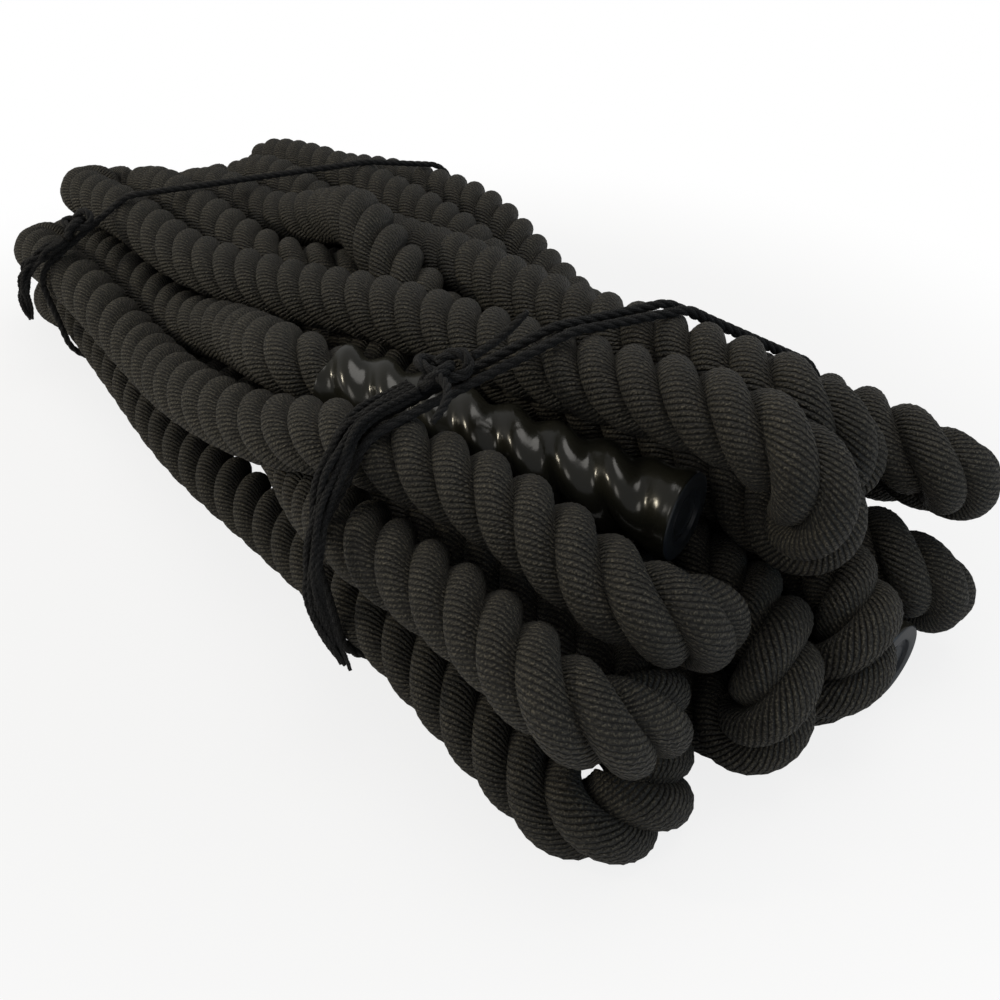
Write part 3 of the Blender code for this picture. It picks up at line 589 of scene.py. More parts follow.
# %% Let the line settle
settling_reach_share = 1.9    # pairs of points within so many diameters are watched
settling_push = 0.9           # of what they lack, in each round
unsmoothed_rounds = 20        # the last ones only part, and don't average any more


def settled_route():
    """Ease the drafted route apart from itself, as a stiff cord would lie."""
    curve, marks, runs = fine_line(draft, draft_runs)
    free = np.where(runs == edge_run, 2 * edge_yield_share, 1.0)[:, None]
    free[:marks[2] + 1] = free[marks[-3]:] = 0.0
    radius = np.full((len(curve), 1), run_pitch / 2)
    radius[:marks[1] + 1] = radius[marks[-2]:] = sleeve_diameter / 2 + fit_gap
    floor = floor_height(curve[:, 0], curve[:, 1])
    i, j = touching(curve, settling_reach_share * rope_diameter)
    need = radius[i] + radius[j]
    along_i, along_j, chord = bent(curve)
    i, j, need = np.append(i, along_i), np.append(j, along_j), np.vstack([need, chord])
    left, right = (share * rope_diameter for share in side_shares)
    start = curve.copy()
    for count in range(settling_rounds):
        shift = curve + settling_push * parted(curve, i, j, need, free) - start
        if count < sagging_share * settling_rounds:
            shift[:, 2] -= sag_at(curve[:, 0])
        if count < settling_rounds - unsmoothed_rounds:
            shift[1:-1] = 0.5 * shift[1:-1] + 0.25 * (shift[:-2] + shift[2:])
        curve = start + np.where(free > 0, shift, 0.0)
        curve[:, 2] = np.maximum(curve[:, 2], floor)
        curve[:, 1] = np.where(free[:, 0] > 0, np.clip(curve[:, 1], left, right), curve[:, 1])
    a, b = marks[2], marks[-3]
    for _ in range(rounding_passes):
        curve[a + 1:b] = (curve[a:b - 1] + curve[a + 2:b + 1] + 2 * curve[a + 1:b]) / 4
    return polished(np.vstack([draft[:2], thinned(curve[a:b + 1], point_count - 4), draft[-2:]]))


settled = settled_route()
print(f"route: {len(settled)} points, {walked_lengths(settled)[-1]:.3f} m")

# %% [markdown]
# The CAD model stands on the middle of its own box, so the line is moved from the hank's axes into
# the frame by a fixed amount.

# %% Bring the line into the frame
shift = np.array((-0.01222, -0.01768, -underside_cut))
route = settled + shift
print("line in the frame:", np.round(route.min(axis=0), 4), np.round(route.max(axis=0), 4))

# %% [markdown]
# The CAD tube runs straight from point to point, which is fine for a plain solid. The visible rope
# needs a curve without corners, walked in equal steps, so the points are joined by a smooth curve,
# sampled every few millimetres and averaged a little along its length.

# %% Walk the rope in equal steps
ring_step = 0.0034            # along the visible rope


def evenly(points, step):
    """The same line, with points at equal distances."""
    walked = walked_lengths(points)
    count = int(round(walked[-1] / step)) + 1
    places = np.linspace(0.0, walked[-1], count)
    return np.stack([np.interp(places, walked, points[:, axis]) for axis in range(3)], axis=1)


def eased(points, rounds):
    """Each point drawn towards its neighbours, with both ends left in place."""
    points = points.copy()
    for _ in range(rounds):
        points[1:-1] = (points[:-2] + 2 * points[1:-1] + points[2:]) / 4
    return points


def smooth_line(points, step, rounds=6):
    """A smooth line through the points, in equal steps."""
    lengths = np.linalg.norm(np.diff(points, axis=0), axis=1)
    fine = smooth_curve(points, np.maximum(2, np.ceil(lengths / step)).astype(int))
    return evenly(eased(evenly(fine, step), rounds), step)


rope_line = smooth_line(route, ring_step)
rope_length = float(walked_lengths(rope_line)[-1])
print(f"rope: {rope_length:.3f} m in {len(rope_line)} rings")

# %% [markdown]
# ## Laid cord
#
# A laid rope is three strands twisted round each other, and each strand is itself a bundle of yarns
# twisted the other way, so on the outside the yarns run almost along the rope. Three real tubes
# would hide most of their faces inside, so the surface made here is their common skin: each strand
# shows as an arc of an ellipse between the two grooves where it meets its neighbours.
# The same functions make the rope, the ties, the knots and the tassel yarns.

# %% The outline of the strands
arc_samples = 2000            # on an ellipse, to find where it meets the next strand


def strand_arc(sides, wide=0.29, deep=0.25, centre=0.25):
    """One strand's arc in a cord of diameter 1: its points, their angles round the strand."""
    angles = np.linspace(0.0, math.pi, arc_samples)
    polar = np.arctan2(wide * np.sin(angles), centre + deep * np.cos(angles))
    edge = angles[np.argmax(polar >= math.pi / strand_count)]
    turned = np.linspace(-edge, edge, sides + 1)
    return np.stack([centre + deep * np.cos(turned), wide * np.sin(turned)], axis=1), turned


print("arc of a strand: half of it spans", round(math.degrees(strand_arc(1)[1][-1])), "degrees")

# %% [markdown]
# The outline is carried along the line without twisting, and the strands' own turning is added to
# it. On a cord that closes on itself the turning is eased, so that each strand meets a strand.

# %% Axes and twist along a line
def carried_axes(line, closed=False):
    """Two axes square to the line at each point, carried along without twisting."""
    if closed:
        tangents = np.roll(line, -1, axis=0) - np.roll(line, 1, axis=0)
    else:
        tangents = np.gradient(line, axis=0)
    tangents /= np.linalg.norm(tangents, axis=1, keepdims=True)
    first = np.cross(tangents[0], (0.0, 0.0, 1.0))
    first /= np.linalg.norm(first)
    firsts = [first]
    for tangent in tangents[1:]:
        first = first - tangent * (first @ tangent)
        first /= np.linalg.norm(first)
        firsts.append(first)
    firsts = np.array(firsts)
    return firsts, np.cross(tangents, firsts), tangents


def ways_round(angles, first, second):
    """Directions at these angles between two axes."""
    return np.cos(angles)[..., None] * first + np.sin(angles)[..., None] * second


def turns_of(walked, lay):
    """How far the strands have turned, in radians, where the lay may change along the cord."""
    lays = np.broadcast_to(lay, walked.shape)
    steps = 2 * math.pi * np.diff(walked) / ((lays[1:] + lays[:-1]) / 2)
    return np.concatenate([[0.0], np.cumsum(steps)])


def closing_twist(twist, firsts, seconds, tangents):
    """The twist of a closed cord, eased to a whole number of strands from end to start."""
    last = firsts[-1] - tangents[0] * (firsts[-1] @ tangents[0])
    missing = -math.atan2(last @ seconds[0], last @ firsts[0])
    whole = 2 * math.pi / strand_count
    return twist * (round(twist[-1] / whole) * whole + missing) / twist[-1]


# %% [markdown]
# The mesh is a grid of rings. Two maps go with it: `Yarns` holds the place along the cord and round
# the strand, in metres and radians, which the yarn pattern is drawn from. `OFBake` lays the long
# skin out in rows on a square, which the colours can be baked into. The grooves are marked
# sharp, so that the shading doesn't round them over.

# %% The grid of a skin and its maps
strand_offset = 7.3           # in radians, so that the yarns of the strands differ
end_margin, row_margin = 0.01, 0.03        # of a row in the square map, left empty


def ring_grid(count, sides, closed):
    """The corners of the quads between rings, as (ring, side) pairs in the order of the faces."""
    first = np.arange(count if closed else count - 1)
    a, k = np.meshgrid(first, np.arange(sides), indexing="ij")
    b, following = a + 1, k + 1
    corners = np.stack([np.stack([a, k]), np.stack([a, following]), np.stack([b, following]),
                        np.stack([b, k])], axis=-1)
    return corners.reshape(2, -1, 4)


def strand_steps(side, sides):
    """The strand of each corner and its step on the arc. A quad's far corners may end the arc."""
    strand, step = side // sides, side % sides
    for corner in (1, 2):
        ends = side[:, corner] % sides == 0
        strand[ends, corner] = strand[ends, 0]
        step[ends, corner] = sides
    return strand, step


def map_rows(ring, across, rings, rows):
    """Places in a square for a long skin that is cut into rows."""
    row_rings = math.ceil(rings / rows)
    row = ring[:, :1] // row_rings
    along = end_margin + (1 - 2 * end_margin) * (ring - row * row_rings) / row_rings
    return np.stack([along, (row + row_margin + (1 - 2 * row_margin) * across) / rows], axis=-1)


def mark_grooves(mesh, sides):
    """Marks the edges along the grooves between strands as sharp."""
    around = strand_count * sides
    ends = np.empty(len(mesh.edges) * 2, dtype=np.int32)
    mesh.edges.foreach_get("vertices", ends)
    ends = ends.reshape(-1, 2)
    along = ends[:, 0] // around != ends[:, 1] // around
    sharp = mesh.attributes.new("sharp_edge", "BOOLEAN", "EDGE")
    sharp.data.foreach_set("value", (ends % around % sides == 0).all(axis=1) & along)


# %% [markdown]
# With those helpers a cord is one function: the outline at every point of the line, quads between
# them, a cap on each open end, and the two maps.

# %% Skin a cord
def laid_cord(name, line, diameter, lay, sides, surface, closed=False, sizes=1.0, start_turn=0.0):
    """A three-strand cord along the line. sizes scales its thickness from point to point."""
    arc, turned = strand_arc(sides)
    firsts, seconds, tangents = carried_axes(line, closed)
    walked = walked_lengths(np.vstack([line, line[:1]]) if closed else line)
    twist = start_turn + turns_of(walked, lay)
    if closed:
        twist = closing_twist(twist, firsts, seconds, tangents)
    rings, around = len(line), strand_count * sides
    own_angles = np.arctan2(arc[:-1, 1], arc[:-1, 0])
    share = np.concatenate([own_angles + 2 * math.pi * strand / strand_count
                            for strand in range(strand_count)])
    reach = np.tile(np.linalg.norm(arc[:-1], axis=1), strand_count) * diameter
    radius = reach[None] * np.broadcast_to(sizes, rings)[:, None]
    ways = ways_round(twist[:rings, None] + share[None], firsts[:, None], seconds[:, None])
    places = line[:, None] + radius[..., None] * ways

    ring, side = ring_grid(rings, around, closed)
    faces = (ring % rings) * around + side % around
    caps = [] if closed else [list(range(around))[::-1],
                              list(range((rings - 1) * around, rings * around))]
    mesh = bpy.data.meshes.new(name)
    mesh.from_pydata(places.reshape(-1, 3).tolist(), [], faces.tolist() + caps)

    strand, step = strand_steps(side, sides)
    arc_lengths = walked_lengths(arc)
    width = arc_lengths[-1] * strand_count * diameter
    rows = max(1, round(math.sqrt(walked[-1] / width)))
    across = (strand * arc_lengths[-1] + arc_lengths[step]) / (arc_lengths[-1] * strand_count)
    baked = map_rows(ring, across, len(walked) - 1, rows)
    yarns = np.stack([walked[ring], turned[step] + strand_offset * strand], axis=-1)
    cap_corners = np.zeros((sum(len(cap) for cap in caps), 2))
    for title, values in (("OFBake", baked), ("Yarns", yarns)):
        layer = mesh.uv_layers.new(name=title)
        flat = np.concatenate([values.reshape(-1, 2), cap_corners]).astype(np.float32)
        layer.data.foreach_set("uv", flat.ravel())
    mesh.shade_smooth()
    mark_grooves(mesh, sides)
    mesh.materials.append(surface)
    made = placed(name, mesh)
    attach(made, "root")
    return made


# %% [markdown]
# ## The yarn
#
# Each strand is covered with fine yarns side by side, and each yarn is a tiny twisted cord. They
# are too many to model, and at this scale a bump shows the same. The pattern is written in the
# `Yarns` map: the number of a yarn grows round the strand, and turns back along the rope, so that
# the yarns lie at the small slant that the real ones have. Their colour holds painted light: painted
# shade takes each yarn from its crown down to near black in the gaps and follows the twist of each
# ply, and painted glints of single filaments light the crowns in specks, up to a pale grey.

# %% The yarn pattern
wander_noise, fuzz_noise, patch_noise = (60.0, 2.0), (1100.0, 2.0), (9.0, 3.0)   # scale, detail
wander_share = 0.5            # how far a yarn strays, in its own widths
ply_slant, ply_shift = 0.3, 0.37           # turns over the width of a yarn, and from yarn to yarn
# Painted glints of single filaments come up over this range of the fuzz. The fuzz also raises the
# bump.
speck_range = (0.42, 0.66)    # of the fuzz, over which a glint comes up
# Weights of the painted light: its least level, painted shade along each ply's twist, each yarn's
# own tone, painted glints.
gap_light, painted_ply_light, own_light, painted_glint_light = 0.05, 0.20, 0.10, 0.95
# Painted shade: the first power darkens each yarn from its crown down into the gaps.
painted_shade_power, painted_glint_power = 1.4, 2.2        # high, so that crowns and glints stand out
patch_least, patch_change = 0.6, 0.8
crown_polish = 0.12           # how much smoother the crown of a ply is
ply_height_share, speck_height_share = 0.25, 0.22          # of a yarn's own height


def yarn_material(name, dark, pale, yarns, turn, ply_length, yarn_height, roughness):
    """Spun yarn: yarns round each strand, turning by so many radians a metre against its twist."""
    made, shader, start = new_material(name)
    place = start.node("UVMap", {"uv_map": "Yarns"}, {})
    along = start.node("SeparateXYZ", {}, {0: place})
    around = along.output(1)
    spot = start.node("TexCoord", {}, {}, output=3)          # the object's own coordinates
    wander = spot.noise(*wander_noise)
    count = (around + along * turn) * (yarns / math.tau) + (wander - 0.5) * wander_share
    across = maths("FRACT", count) * 2 - 1                   # -1 to 1 over the width of a yarn
    number = maths("FLOOR", count)
    crown = maths("MAXIMUM", 1 - across * across, 0.0)
    turns = along / ply_length + across * ply_slant + number * ply_shift
    ply = maths("SINE", turns * math.tau) * 0.5 + 0.5        # 0 to 1, along the twist of a yarn
    own = start.node("TexWhiteNoise", {"noise_dimensions": "1D"}, {"W": number})
    fuzz = spot.noise(*fuzz_noise)
    dim, bright = speck_range
    speck = start.node("MapRange", {"clamp": True}, {0: fuzz, 1: dim, 2: bright, 3: 0.0, 4: 1.0})
    patches = spot.noise(*patch_noise)
    # Painted light: painted glints of filaments and painted shade along each ply, with each yarn's
    # own tone.
    light = gap_light + painted_ply_light * ply + own_light * own + painted_glint_light * speck ** painted_glint_power
    # Painted shade falls from each crown into the gaps. The patches are wear and dust.
    shade = crown ** painted_shade_power * light * (patch_least + patch_change * patches)
    feed(shader, "Base Color", shade.mixed(dark, pale))
    feed(shader, "Roughness", roughness - crown_polish * crown * ply)
    height = (crown ** 0.5 * yarn_height + ply * crown * (yarn_height * ply_height_share)
              + speck * (yarn_height * speck_height_share))
    bump = start.node("Bump", {}, {"Height": height, "Distance": 1.0, "Strength": 1.0})
    feed(shader, "Normal", bump)
    feed(shader, "Specular IOR Level", 0.4)
    feed(shader, "Sheen Weight", 0.05)
    feed(shader, "Sheen Roughness", 0.4)
    return made


# The pale colours show only on lit crowns with painted glints. The dark ones fill the painted shade
# of the gaps.
rope_yarn = yarn_material("rope_yarn", (0.0014, 0.0013, 0.0011), (0.120, 0.1085, 0.0800), yarns=25,
                          turn=196.0, ply_length=0.0021, yarn_height=0.0013, roughness=0.60)
tie_yarn = yarn_material("tie_yarn", (0.0012, 0.0012, 0.0013), (0.036, 0.0362, 0.0375), yarns=9,
                         turn=520.0, ply_length=0.0014, yarn_height=0.00045, roughness=0.8)
print("materials:", [made.name for made in (rope_yarn, tie_yarn)])

# %% [markdown]
# ## The rope
#
# One skin covers the whole rope, from the closed end of one sleeve to the closed end of the other.
# Inside the sleeves it is squeezed and drawn out a little. Where it lies on the floor it is pressed
# flat.

# %% Lay the rope
visible_lay = 0.069           # along the rope, for one full turn of a strand
gripped_lay = 0.077           # the same in a sleeve
squeeze_length = 0.012        # over which a sleeve's mouth squeezes it
rope_swell = 1.02             # its crests stand a little outside the CAD tube
rope_sides = 12               # of each strand's arc
inset = 0.006                 # of the rope's ends from the sleeves' closed ends


def rope_sizes(line):
    """The rope's thickness along its length, and its lay: squeezed and drawn out in each sleeve."""
    walked = walked_lengths(line)
    from_end = np.minimum(walked, walked[-1] - walked)
    inside = 1 - smooth_step((from_end - sleeve_length + squeeze_length / 2) / squeeze_length)
    return (1 + (core_diameter / rope_diameter - 1) * inside,
            visible_lay + (gripped_lay - visible_lay) * inside)


def pressed_on_floor(thing):
    """Flattens what would sink into the floor."""
    mesh = thing.data
    places = np.empty(len(mesh.vertices) * 3)
    mesh.vertices.foreach_get("co", places)
    places = places.reshape(-1, 3)
    sunk = int((places[:, 2] < 0.0).sum())
    places[:, 2] = np.maximum(places[:, 2], 0.0)
    mesh.vertices.foreach_set("co", places.ravel())
    mesh.update()
    return sunk


rope_walked = walked_lengths(rope_line)
inner_line = rope_line[(rope_walked > inset) & (rope_walked < rope_length - inset)]
thickness, rope_lay = rope_sizes(inner_line)
visible_rope = laid_cord("laid_rope", inner_line, rope_diameter * rope_swell, rope_lay, rope_sides,
                         rope_yarn, sizes=thickness)
print("pressed flat:", pressed_on_floor(visible_rope), "of", len(visible_rope.data.vertices),
      "points")
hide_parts("rope_hank", *[f"{end}_strand_{number}" for end in ("upper", "lower")
                                         for number in (1, 2, 3)])

# %% [markdown]
# ## The sleeves
#
# Each end of the rope is gripped by a sleeve of shrunk plastic. It clings to the strands, so it
# shows them as soft twisting lobes, and its closed end stands out as a round disc with a shallow
# recess. The plastic is nearly black and glossy. Its fine creases break up the gloss. The closed
# end, which was pressed and not shrunk, is duller, and its paler blue-grey colour is a painted
# reflection of cool light.

# %% Sleeve plastic
crease_noise, grain_noise, smear_noise = (90.0, 4.0), (900.0, 2.0), (35.0, 5.0)  # scale, detail
crease_height, grain_height = 0.0004, 0.00002
crease_strength = 0.7
smear_dullness = 0.14         # added to the roughness where the smears are thickest


def sleeve_material(name, dark, pale, gloss):
    """Glossy plastic with fine creases and dull smears."""
    made, shader, start = new_material(name)
    spot = start.node("TexCoord", {}, {}, output=3)
    creases, grain, smears = (spot.noise(*noise)
                              for noise in (crease_noise, grain_noise, smear_noise))
    feed(shader, "Base Color", smears.mixed(dark, pale))
    feed(shader, "Roughness", gloss + smear_dullness * smears)
    height = creases * crease_height + grain * grain_height
    bump = start.node("Bump", {},
                      {"Height": height, "Distance": 1.0, "Strength": crease_strength})
    feed(shader, "Normal", bump)
    return made


sleeve_plastic = sleeve_material("sleeve_plastic", (0.010, 0.0098, 0.0070),
                                 (0.026, 0.0253, 0.0185), 0.13)
# The closed end's blue-grey, paler than the sleeve, is a painted reflection of cool light. Its
# higher roughness is its own.
painted_reflection_end_plastic = sleeve_material("painted_reflection_end_plastic", (0.016, 0.019, 0.023), (0.036, 0.042, 0.051), 0.26)
print("materials:", [made.name for made in (sleeve_plastic, painted_reflection_end_plastic)])

# %% [markdown]
# The sleeve is a true shell: its rings run up the outside, over the rim, into the recess and back
# down the inside to a rounded lip. Each ring has a height, a radius and a share of the strands'
# lobes, which fade out before the closed end. A slight waist and a bead lie behind the rim.

# %% The profile of a sleeve
visual_lobe = 0.0045          # how far the grooves sink between the lobes
visual_crest = 0.0201         # radius on a lobe
shell = 0.0011
rim_radius = 0.0018
rim_start = 15                # in degrees, where the rounding of the rim begins
end_face_radii = (0.0151, 0.01405)         # of the rings on the flat round the recess
recess_radius = 0.0128
recess_depth = 0.0018
recess_edge = 0.0003          # how steep its wall is
wall_bevel = 0.0002
floor_fillet = 0.0010
disc_radii = (0.0098, 0.0092, 0.0086, 0.0060, 0.0030)      # of the rings on the floor of the recess
raised_radius = 0.0092        # a fine raised ring there
raised_height = raised_width = 0.0005
fade_length = 0.026
bead_height, bead_place, bead_width = 0.0012, 0.004, 0.006       # places are from the closed end
waist_depth, waist_place, waist_width = 0.0008, 0.017, 0.007
inside_end = 0.005            # the shell's hollow ends so far from the closed end
sleeve_sides = 72
sleeve_rings = 90
lip_rings, rim_rings = 5, 6


def bell(distance, width):
    """1 at no distance, and next to nothing past twice the width."""
    return math.exp(-(distance / width) ** 2)


def sleeve_profile():
    """(height, radius, lobes) up the outside, over the rim, into the recess, and down inside."""
    end_radius = sleeve_diameter / 2
    rows = []
    lip = shell / 2
    for angle in np.radians(np.linspace(-90, 0, lip_rings)):
        rows.append((lip + lip * math.sin(angle), visual_crest - lip + lip * math.cos(angle), 1.0))
    for height in np.linspace(lip * 2, sleeve_length - rim_radius, sleeve_rings):
        past = height - sleeve_length
        fade = float(smooth_step((past + fade_length) / (fade_length - rim_radius)))
        bead = bead_height * bell(past + bead_place, bead_width)
        waist = -waist_depth * bell(past + waist_place, waist_width)
        radius = visual_crest + (end_radius - bead_height - visual_crest) * fade + bead + waist
        rows.append((height, radius, 1 - fade))
    for angle in np.radians(np.linspace(rim_start, 90, rim_rings)):
        rows.append((sleeve_length - rim_radius * (1 - math.sin(angle)),
                     end_radius - rim_radius * (1 - math.cos(angle)), 0.0))
    bottom = sleeve_length - recess_depth
    rows += [(sleeve_length, radius, 0.0) for radius in end_face_radii]
    rows += [(sleeve_length - wall_bevel, recess_radius + recess_edge, 0.0),
             (bottom + wall_bevel, recess_radius - recess_edge, 0.0),
             (bottom, recess_radius - floor_fillet, 0.0)]
    for radius in disc_radii:
        rise = raised_height * bell(radius - raised_radius, raised_width)
        rows.append((bottom + rise, radius, 0.0))
    straight = rows[lip_rings - 1:sleeve_rings + lip_rings - 1]
    inside = [(height, radius - shell, lobes) for height, radius, lobes in straight
              if height < sleeve_length - inside_end]
    return rows, inside[::-1]


print("rings of a sleeve:", [len(rows) for rows in sleeve_profile()])

# %% [markdown]
# The rings stand round the handle's axis. Each lobe lies over a strand of the rope inside, so the
# lobes turn as the strands do. One cap closes the disc and another the hollow, and the last ring
# joins the first at the lip.

# %% Form a sleeve
lobe_power = 0.8              # below 1 a lobe is broad and a groove narrow
first_disc_ring = lip_rings + sleeve_rings + 2       # from the rim on, it is the closed end
sharp_angle = 50              # in degrees, from which an edge is shown sharp


def form_sleeve(name, end, mouth, line):
    """A shell round the straight end of the line. Its lobes lie over the rope's strands."""
    firsts, seconds, _ = carried_axes(line)
    walked = walked_lengths(line)
    turned = turns_of(walked, rope_lay)
    at = int(np.argmin(np.linalg.norm(line - mouth, axis=1)))
    way = (end - mouth) / np.linalg.norm(end - mouth)
    outside, inside = sleeve_profile()
    count = sleeve_sides
    angles = np.arange(count) * 2 * math.pi / count
    ways = ways_round(angles, firsts[at], seconds[at])
    forward = -1.0 if at < len(line) / 2 else 1.0
    rings = []
    for height, radius, lobes in outside + inside:
        twist = np.interp(walked[at] + forward * height, walked, turned)
        bulge = ((1 + np.cos(strand_count * (angles - twist))) / 2) ** lobe_power
        reach = radius - visual_lobe * lobes * (1 - bulge)
        rings.append(mouth + way * height + reach[:, None] * ways)
    ring, side = ring_grid(len(rings), count, False)
    top = len(outside) - 1
    quads = (ring * count + side % count)[ring[:, 0] != top].tolist()
    disc = list(range(top * count, (top + 1) * count))
    hollow = list(range((top + 1) * count, (top + 2) * count))[::-1]
    last = (len(rings) - 1) * count
    lip = [[last + k, last + (k + 1) % count, (k + 1) % count, k] for k in range(count)]
    mesh = bpy.data.meshes.new(name)
    mesh.from_pydata(np.array(rings).reshape(-1, 3).tolist(), [], quads + [disc, hollow] + lip)
    mesh.shade_smooth()
    mesh.set_sharp_from_angle(angle=math.radians(sharp_angle))
    mesh.materials.append(sleeve_plastic)
    mesh.materials.append(painted_reflection_end_plastic)
    for face in mesh.polygons:
        if first_disc_ring <= face.index // count < top or face.index == len(quads):
            face.material_index = 1
    made = placed(name, mesh)
    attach(made, "root")
    return made


for name, (end, mouth, _) in zip(("upper", "lower"), handle_axes()):
    sleeve = form_sleeve(f"{name}_grip", end + shift, mouth + shift, inner_line)
    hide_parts(f"{name}_sleeve")

# %% [markdown]
# ## The ties
#
# Each tie is thin cord pulled taut round the whole hank: two turns near the loops in front, and one
# at the far end. The sizes of the ties, their knots and their tassels are the CAD model's.

# %% Sizes of the ties
tie_spacing = 0.0068          # between the two turns of the near tie, at the edge by its knot
hull_angles = 48              # points round each run, for the hull
outline_points = 180          # of a tie's course, before it is thinned
band_points = 60              # after it is thinned
clearing_rounds = 8           # of lifting a cord clear of the rope
knot_length = 0.0288
knot_width = 0.0264
knot_height = 0.0112
knot_tip = 0.94               # in radians, where its course reaches furthest along the band
yarn_diameter = 0.0024
yarn_points = 12
yarns_per_layer = 4
tassel_layers = 2
near_knot_y = -0.068
near_edge_y = -0.125
far_knot_y = -0.095
near_tassel_length = 0.120
far_tassel_length = 0.060
near_tassel_drift = 0.060     # how far the tassel's tip hangs along X from the tie
far_tassel_drift = 0.006
tassel_lift = 0.012           # how far its tip stands off the rope
near_tail_lengths = (0.026, 0.030)
near_tail_tips = (-knot_tip, 1.445)           # where they leave the knot's course
near_tail_ways = ((-1.0, 0.0, 0.0), (0.0, 1.0, 0.0))    # along the band, aside and out of it
near_tail_bend_shares = ((0.0, 0.25, 0.45), (0.60, -0.30, -0.10))
tassel_spread_share = 0.35    # how much the yarns part towards the tip
tassel_stagger_share = 0.13   # how much shorter the shortest yarn is
print("yarns of a tassel:", yarns_per_layer * tassel_layers)

# %% [markdown]
# A taut cord takes the shortest way, so in an upright plane across the runs its course is the hull
# of all the round runs it meets. A class holds that hull, because the knot and the tassel are
# placed by it too: along the band, aside from it and out from the rope.

# %% A taut turn
class Band:
    """A taut turn round the whole hank, in an upright plane that crosses the runs at a slant."""

    def __init__(self, route, x, slant):
        self.x, self.slant = x, slant
        self.starts, self.steps = route[:-1], np.diff(route, axis=0)
        self.radii = np.full(len(self.starts), rope_diameter / 2)
        self.radii[[0, -1]] = sleeve_diameter / 2
        ahead = route[:, 0] - x - slant * route[:, 1]
        cut = np.nonzero(ahead[:-1] * ahead[1:] <= 0)[0]
        share = (ahead[cut] / (ahead[cut] - ahead[cut + 1]))[:, None]
        centres = (self.starts[cut] + self.steps[cut] * share)[:, 1:]
        self.outline = self.hull(centres, self.radii[cut] + tie_diameter / 2 + fit_gap)
        self.walked = walked_lengths(np.vstack([self.outline, self.outline[:1]]))

    def hull(self, centres, radii):
        """The outline of a cord stretched round circles, in equal steps, clear of the floor."""
        angles = np.linspace(0.0, 2 * math.pi, hull_angles, endpoint=False)
        ways = np.stack([np.cos(angles), np.sin(angles)], axis=1)
        points = (centres[:, None] + radii[:, None, None] * ways[None]).reshape(-1, 2)
        ordered = sorted(map(tuple, points))
        halves = []
        for walk in (ordered, ordered[::-1]):
            chain = []
            for point in walk:
                while len(chain) > 1 and self.turns_right(chain[-2], chain[-1], point):
                    chain.pop()
                chain.append(point)
            halves += chain[:-1]
        loop = np.array(halves + halves[:1])
        walked = walked_lengths(loop)
        places = np.linspace(0.0, walked[-1], outline_points, endpoint=False)
        outline = np.stack([np.interp(places, walked, loop[:, axis]) for axis in range(2)], axis=1)
        outline[:, 1] = np.maximum(outline[:, 1], underside_cut + fit_gap + tie_diameter / 2)
        return outline

    @staticmethod
    def turns_right(a, b, c):
        """Whether the way through three points turns right or not at all."""
        return (b[0] - a[0]) * (c[1] - a[1]) - (b[1] - a[1]) * (c[0] - a[0]) <= 0

    def place_of(self, y):
        """The distance along the band to its upper crossing of y."""
        upper = self.outline[:, 1] > self.outline[:, 1].mean()
        nearest = np.argmin(np.abs(self.outline[:, 0] - y) + np.where(upper, 0.0, 1.0))
        return self.walked[nearest]

    def point(self, along, aside, out):
        """A point by its distance along the band, its offset along X, and its height over it."""
        along %= self.walked[-1]
        loop = np.vstack([self.outline, self.outline[:1]])
        y, z = (np.interp(along, self.walked, loop[:, axis]) for axis in range(2))
        before, after = ((along + way * tie_diameter) % self.walked[-1] for way in (-1, 1))
        tangent = np.array([np.interp(after, self.walked, loop[:, axis])
                            - np.interp(before, self.walked, loop[:, axis]) for axis in range(2)])
        normal = np.array((tangent[1], -tangent[0])) / np.linalg.norm(tangent)
        y, z = y + out * normal[0], z + out * normal[1]
        return np.array((self.x + self.slant * y + aside, y, z))

    def lacking(self, point, radius):
        """How much a cord at the point lacks of clear room to the rope, and the way out of it."""
        squares = (self.steps ** 2).sum(axis=1)
        share = np.clip(((point - self.starts) * self.steps).sum(axis=1) / squares, 0.0, 1.0)
        apart = point - self.starts - self.steps * share[:, None]
        distance = np.linalg.norm(apart, axis=1)
        short = self.radii + radius + fit_gap - distance
        worst = short.argmax()
        return max(0.0, short[worst]), apart[worst] / distance[worst]

    def cleared(self, points, radius):
        """The points, pushed out of the rope and off the floor where they come too near."""
        points = np.array(points, dtype=float)
        for _ in range(clearing_rounds):
            for k, point in enumerate(points):
                short, way = self.lacking(point, radius)
                points[k] = point + short * way
            points[:, 2] = np.maximum(points[:, 2], underside_cut + fit_gap + radius)
        return points

    def line(self):
        """The band's own centre line, closer where it bends."""
        points = [(self.x + self.slant * y, y, z) for y, z in self.outline]
        points = self.cleared(points, tie_diameter / 2)
        return thinned(np.vstack([points, points[:1]]), band_points + 1)[:-1]


# %% [markdown]
# The knot is a trefoil, the closed form of an overhand knot: its course is two sines and a cosine,
# which pass over and under each other three times. A tassel's yarns lie beside each other in rows,
# and a whole row is lifted at once, so that it stays flat where it crosses the rope's runs.

# %% Courses of the knots and rows of yarns
def knot_course(t):
    """A trefoil's (along, aside, out) round its middle."""
    spans = [(size - tie_diameter) / 2 for size in (knot_length, knot_width, knot_height)]
    return np.array((spans[0] * (math.sin(t) + 2 * math.sin(2 * t)) / 3,
                     spans[1] * (math.cos(t) - 2 * math.cos(2 * t)) / 3,
                     -spans[2] * math.sin(3 * t)))


def knot_middle(along):
    """Where a knot sits on its band: clear of the taut cord under it."""
    return np.array((along, 0.0, tie_diameter / 2 + fit_gap + knot_height / 2))


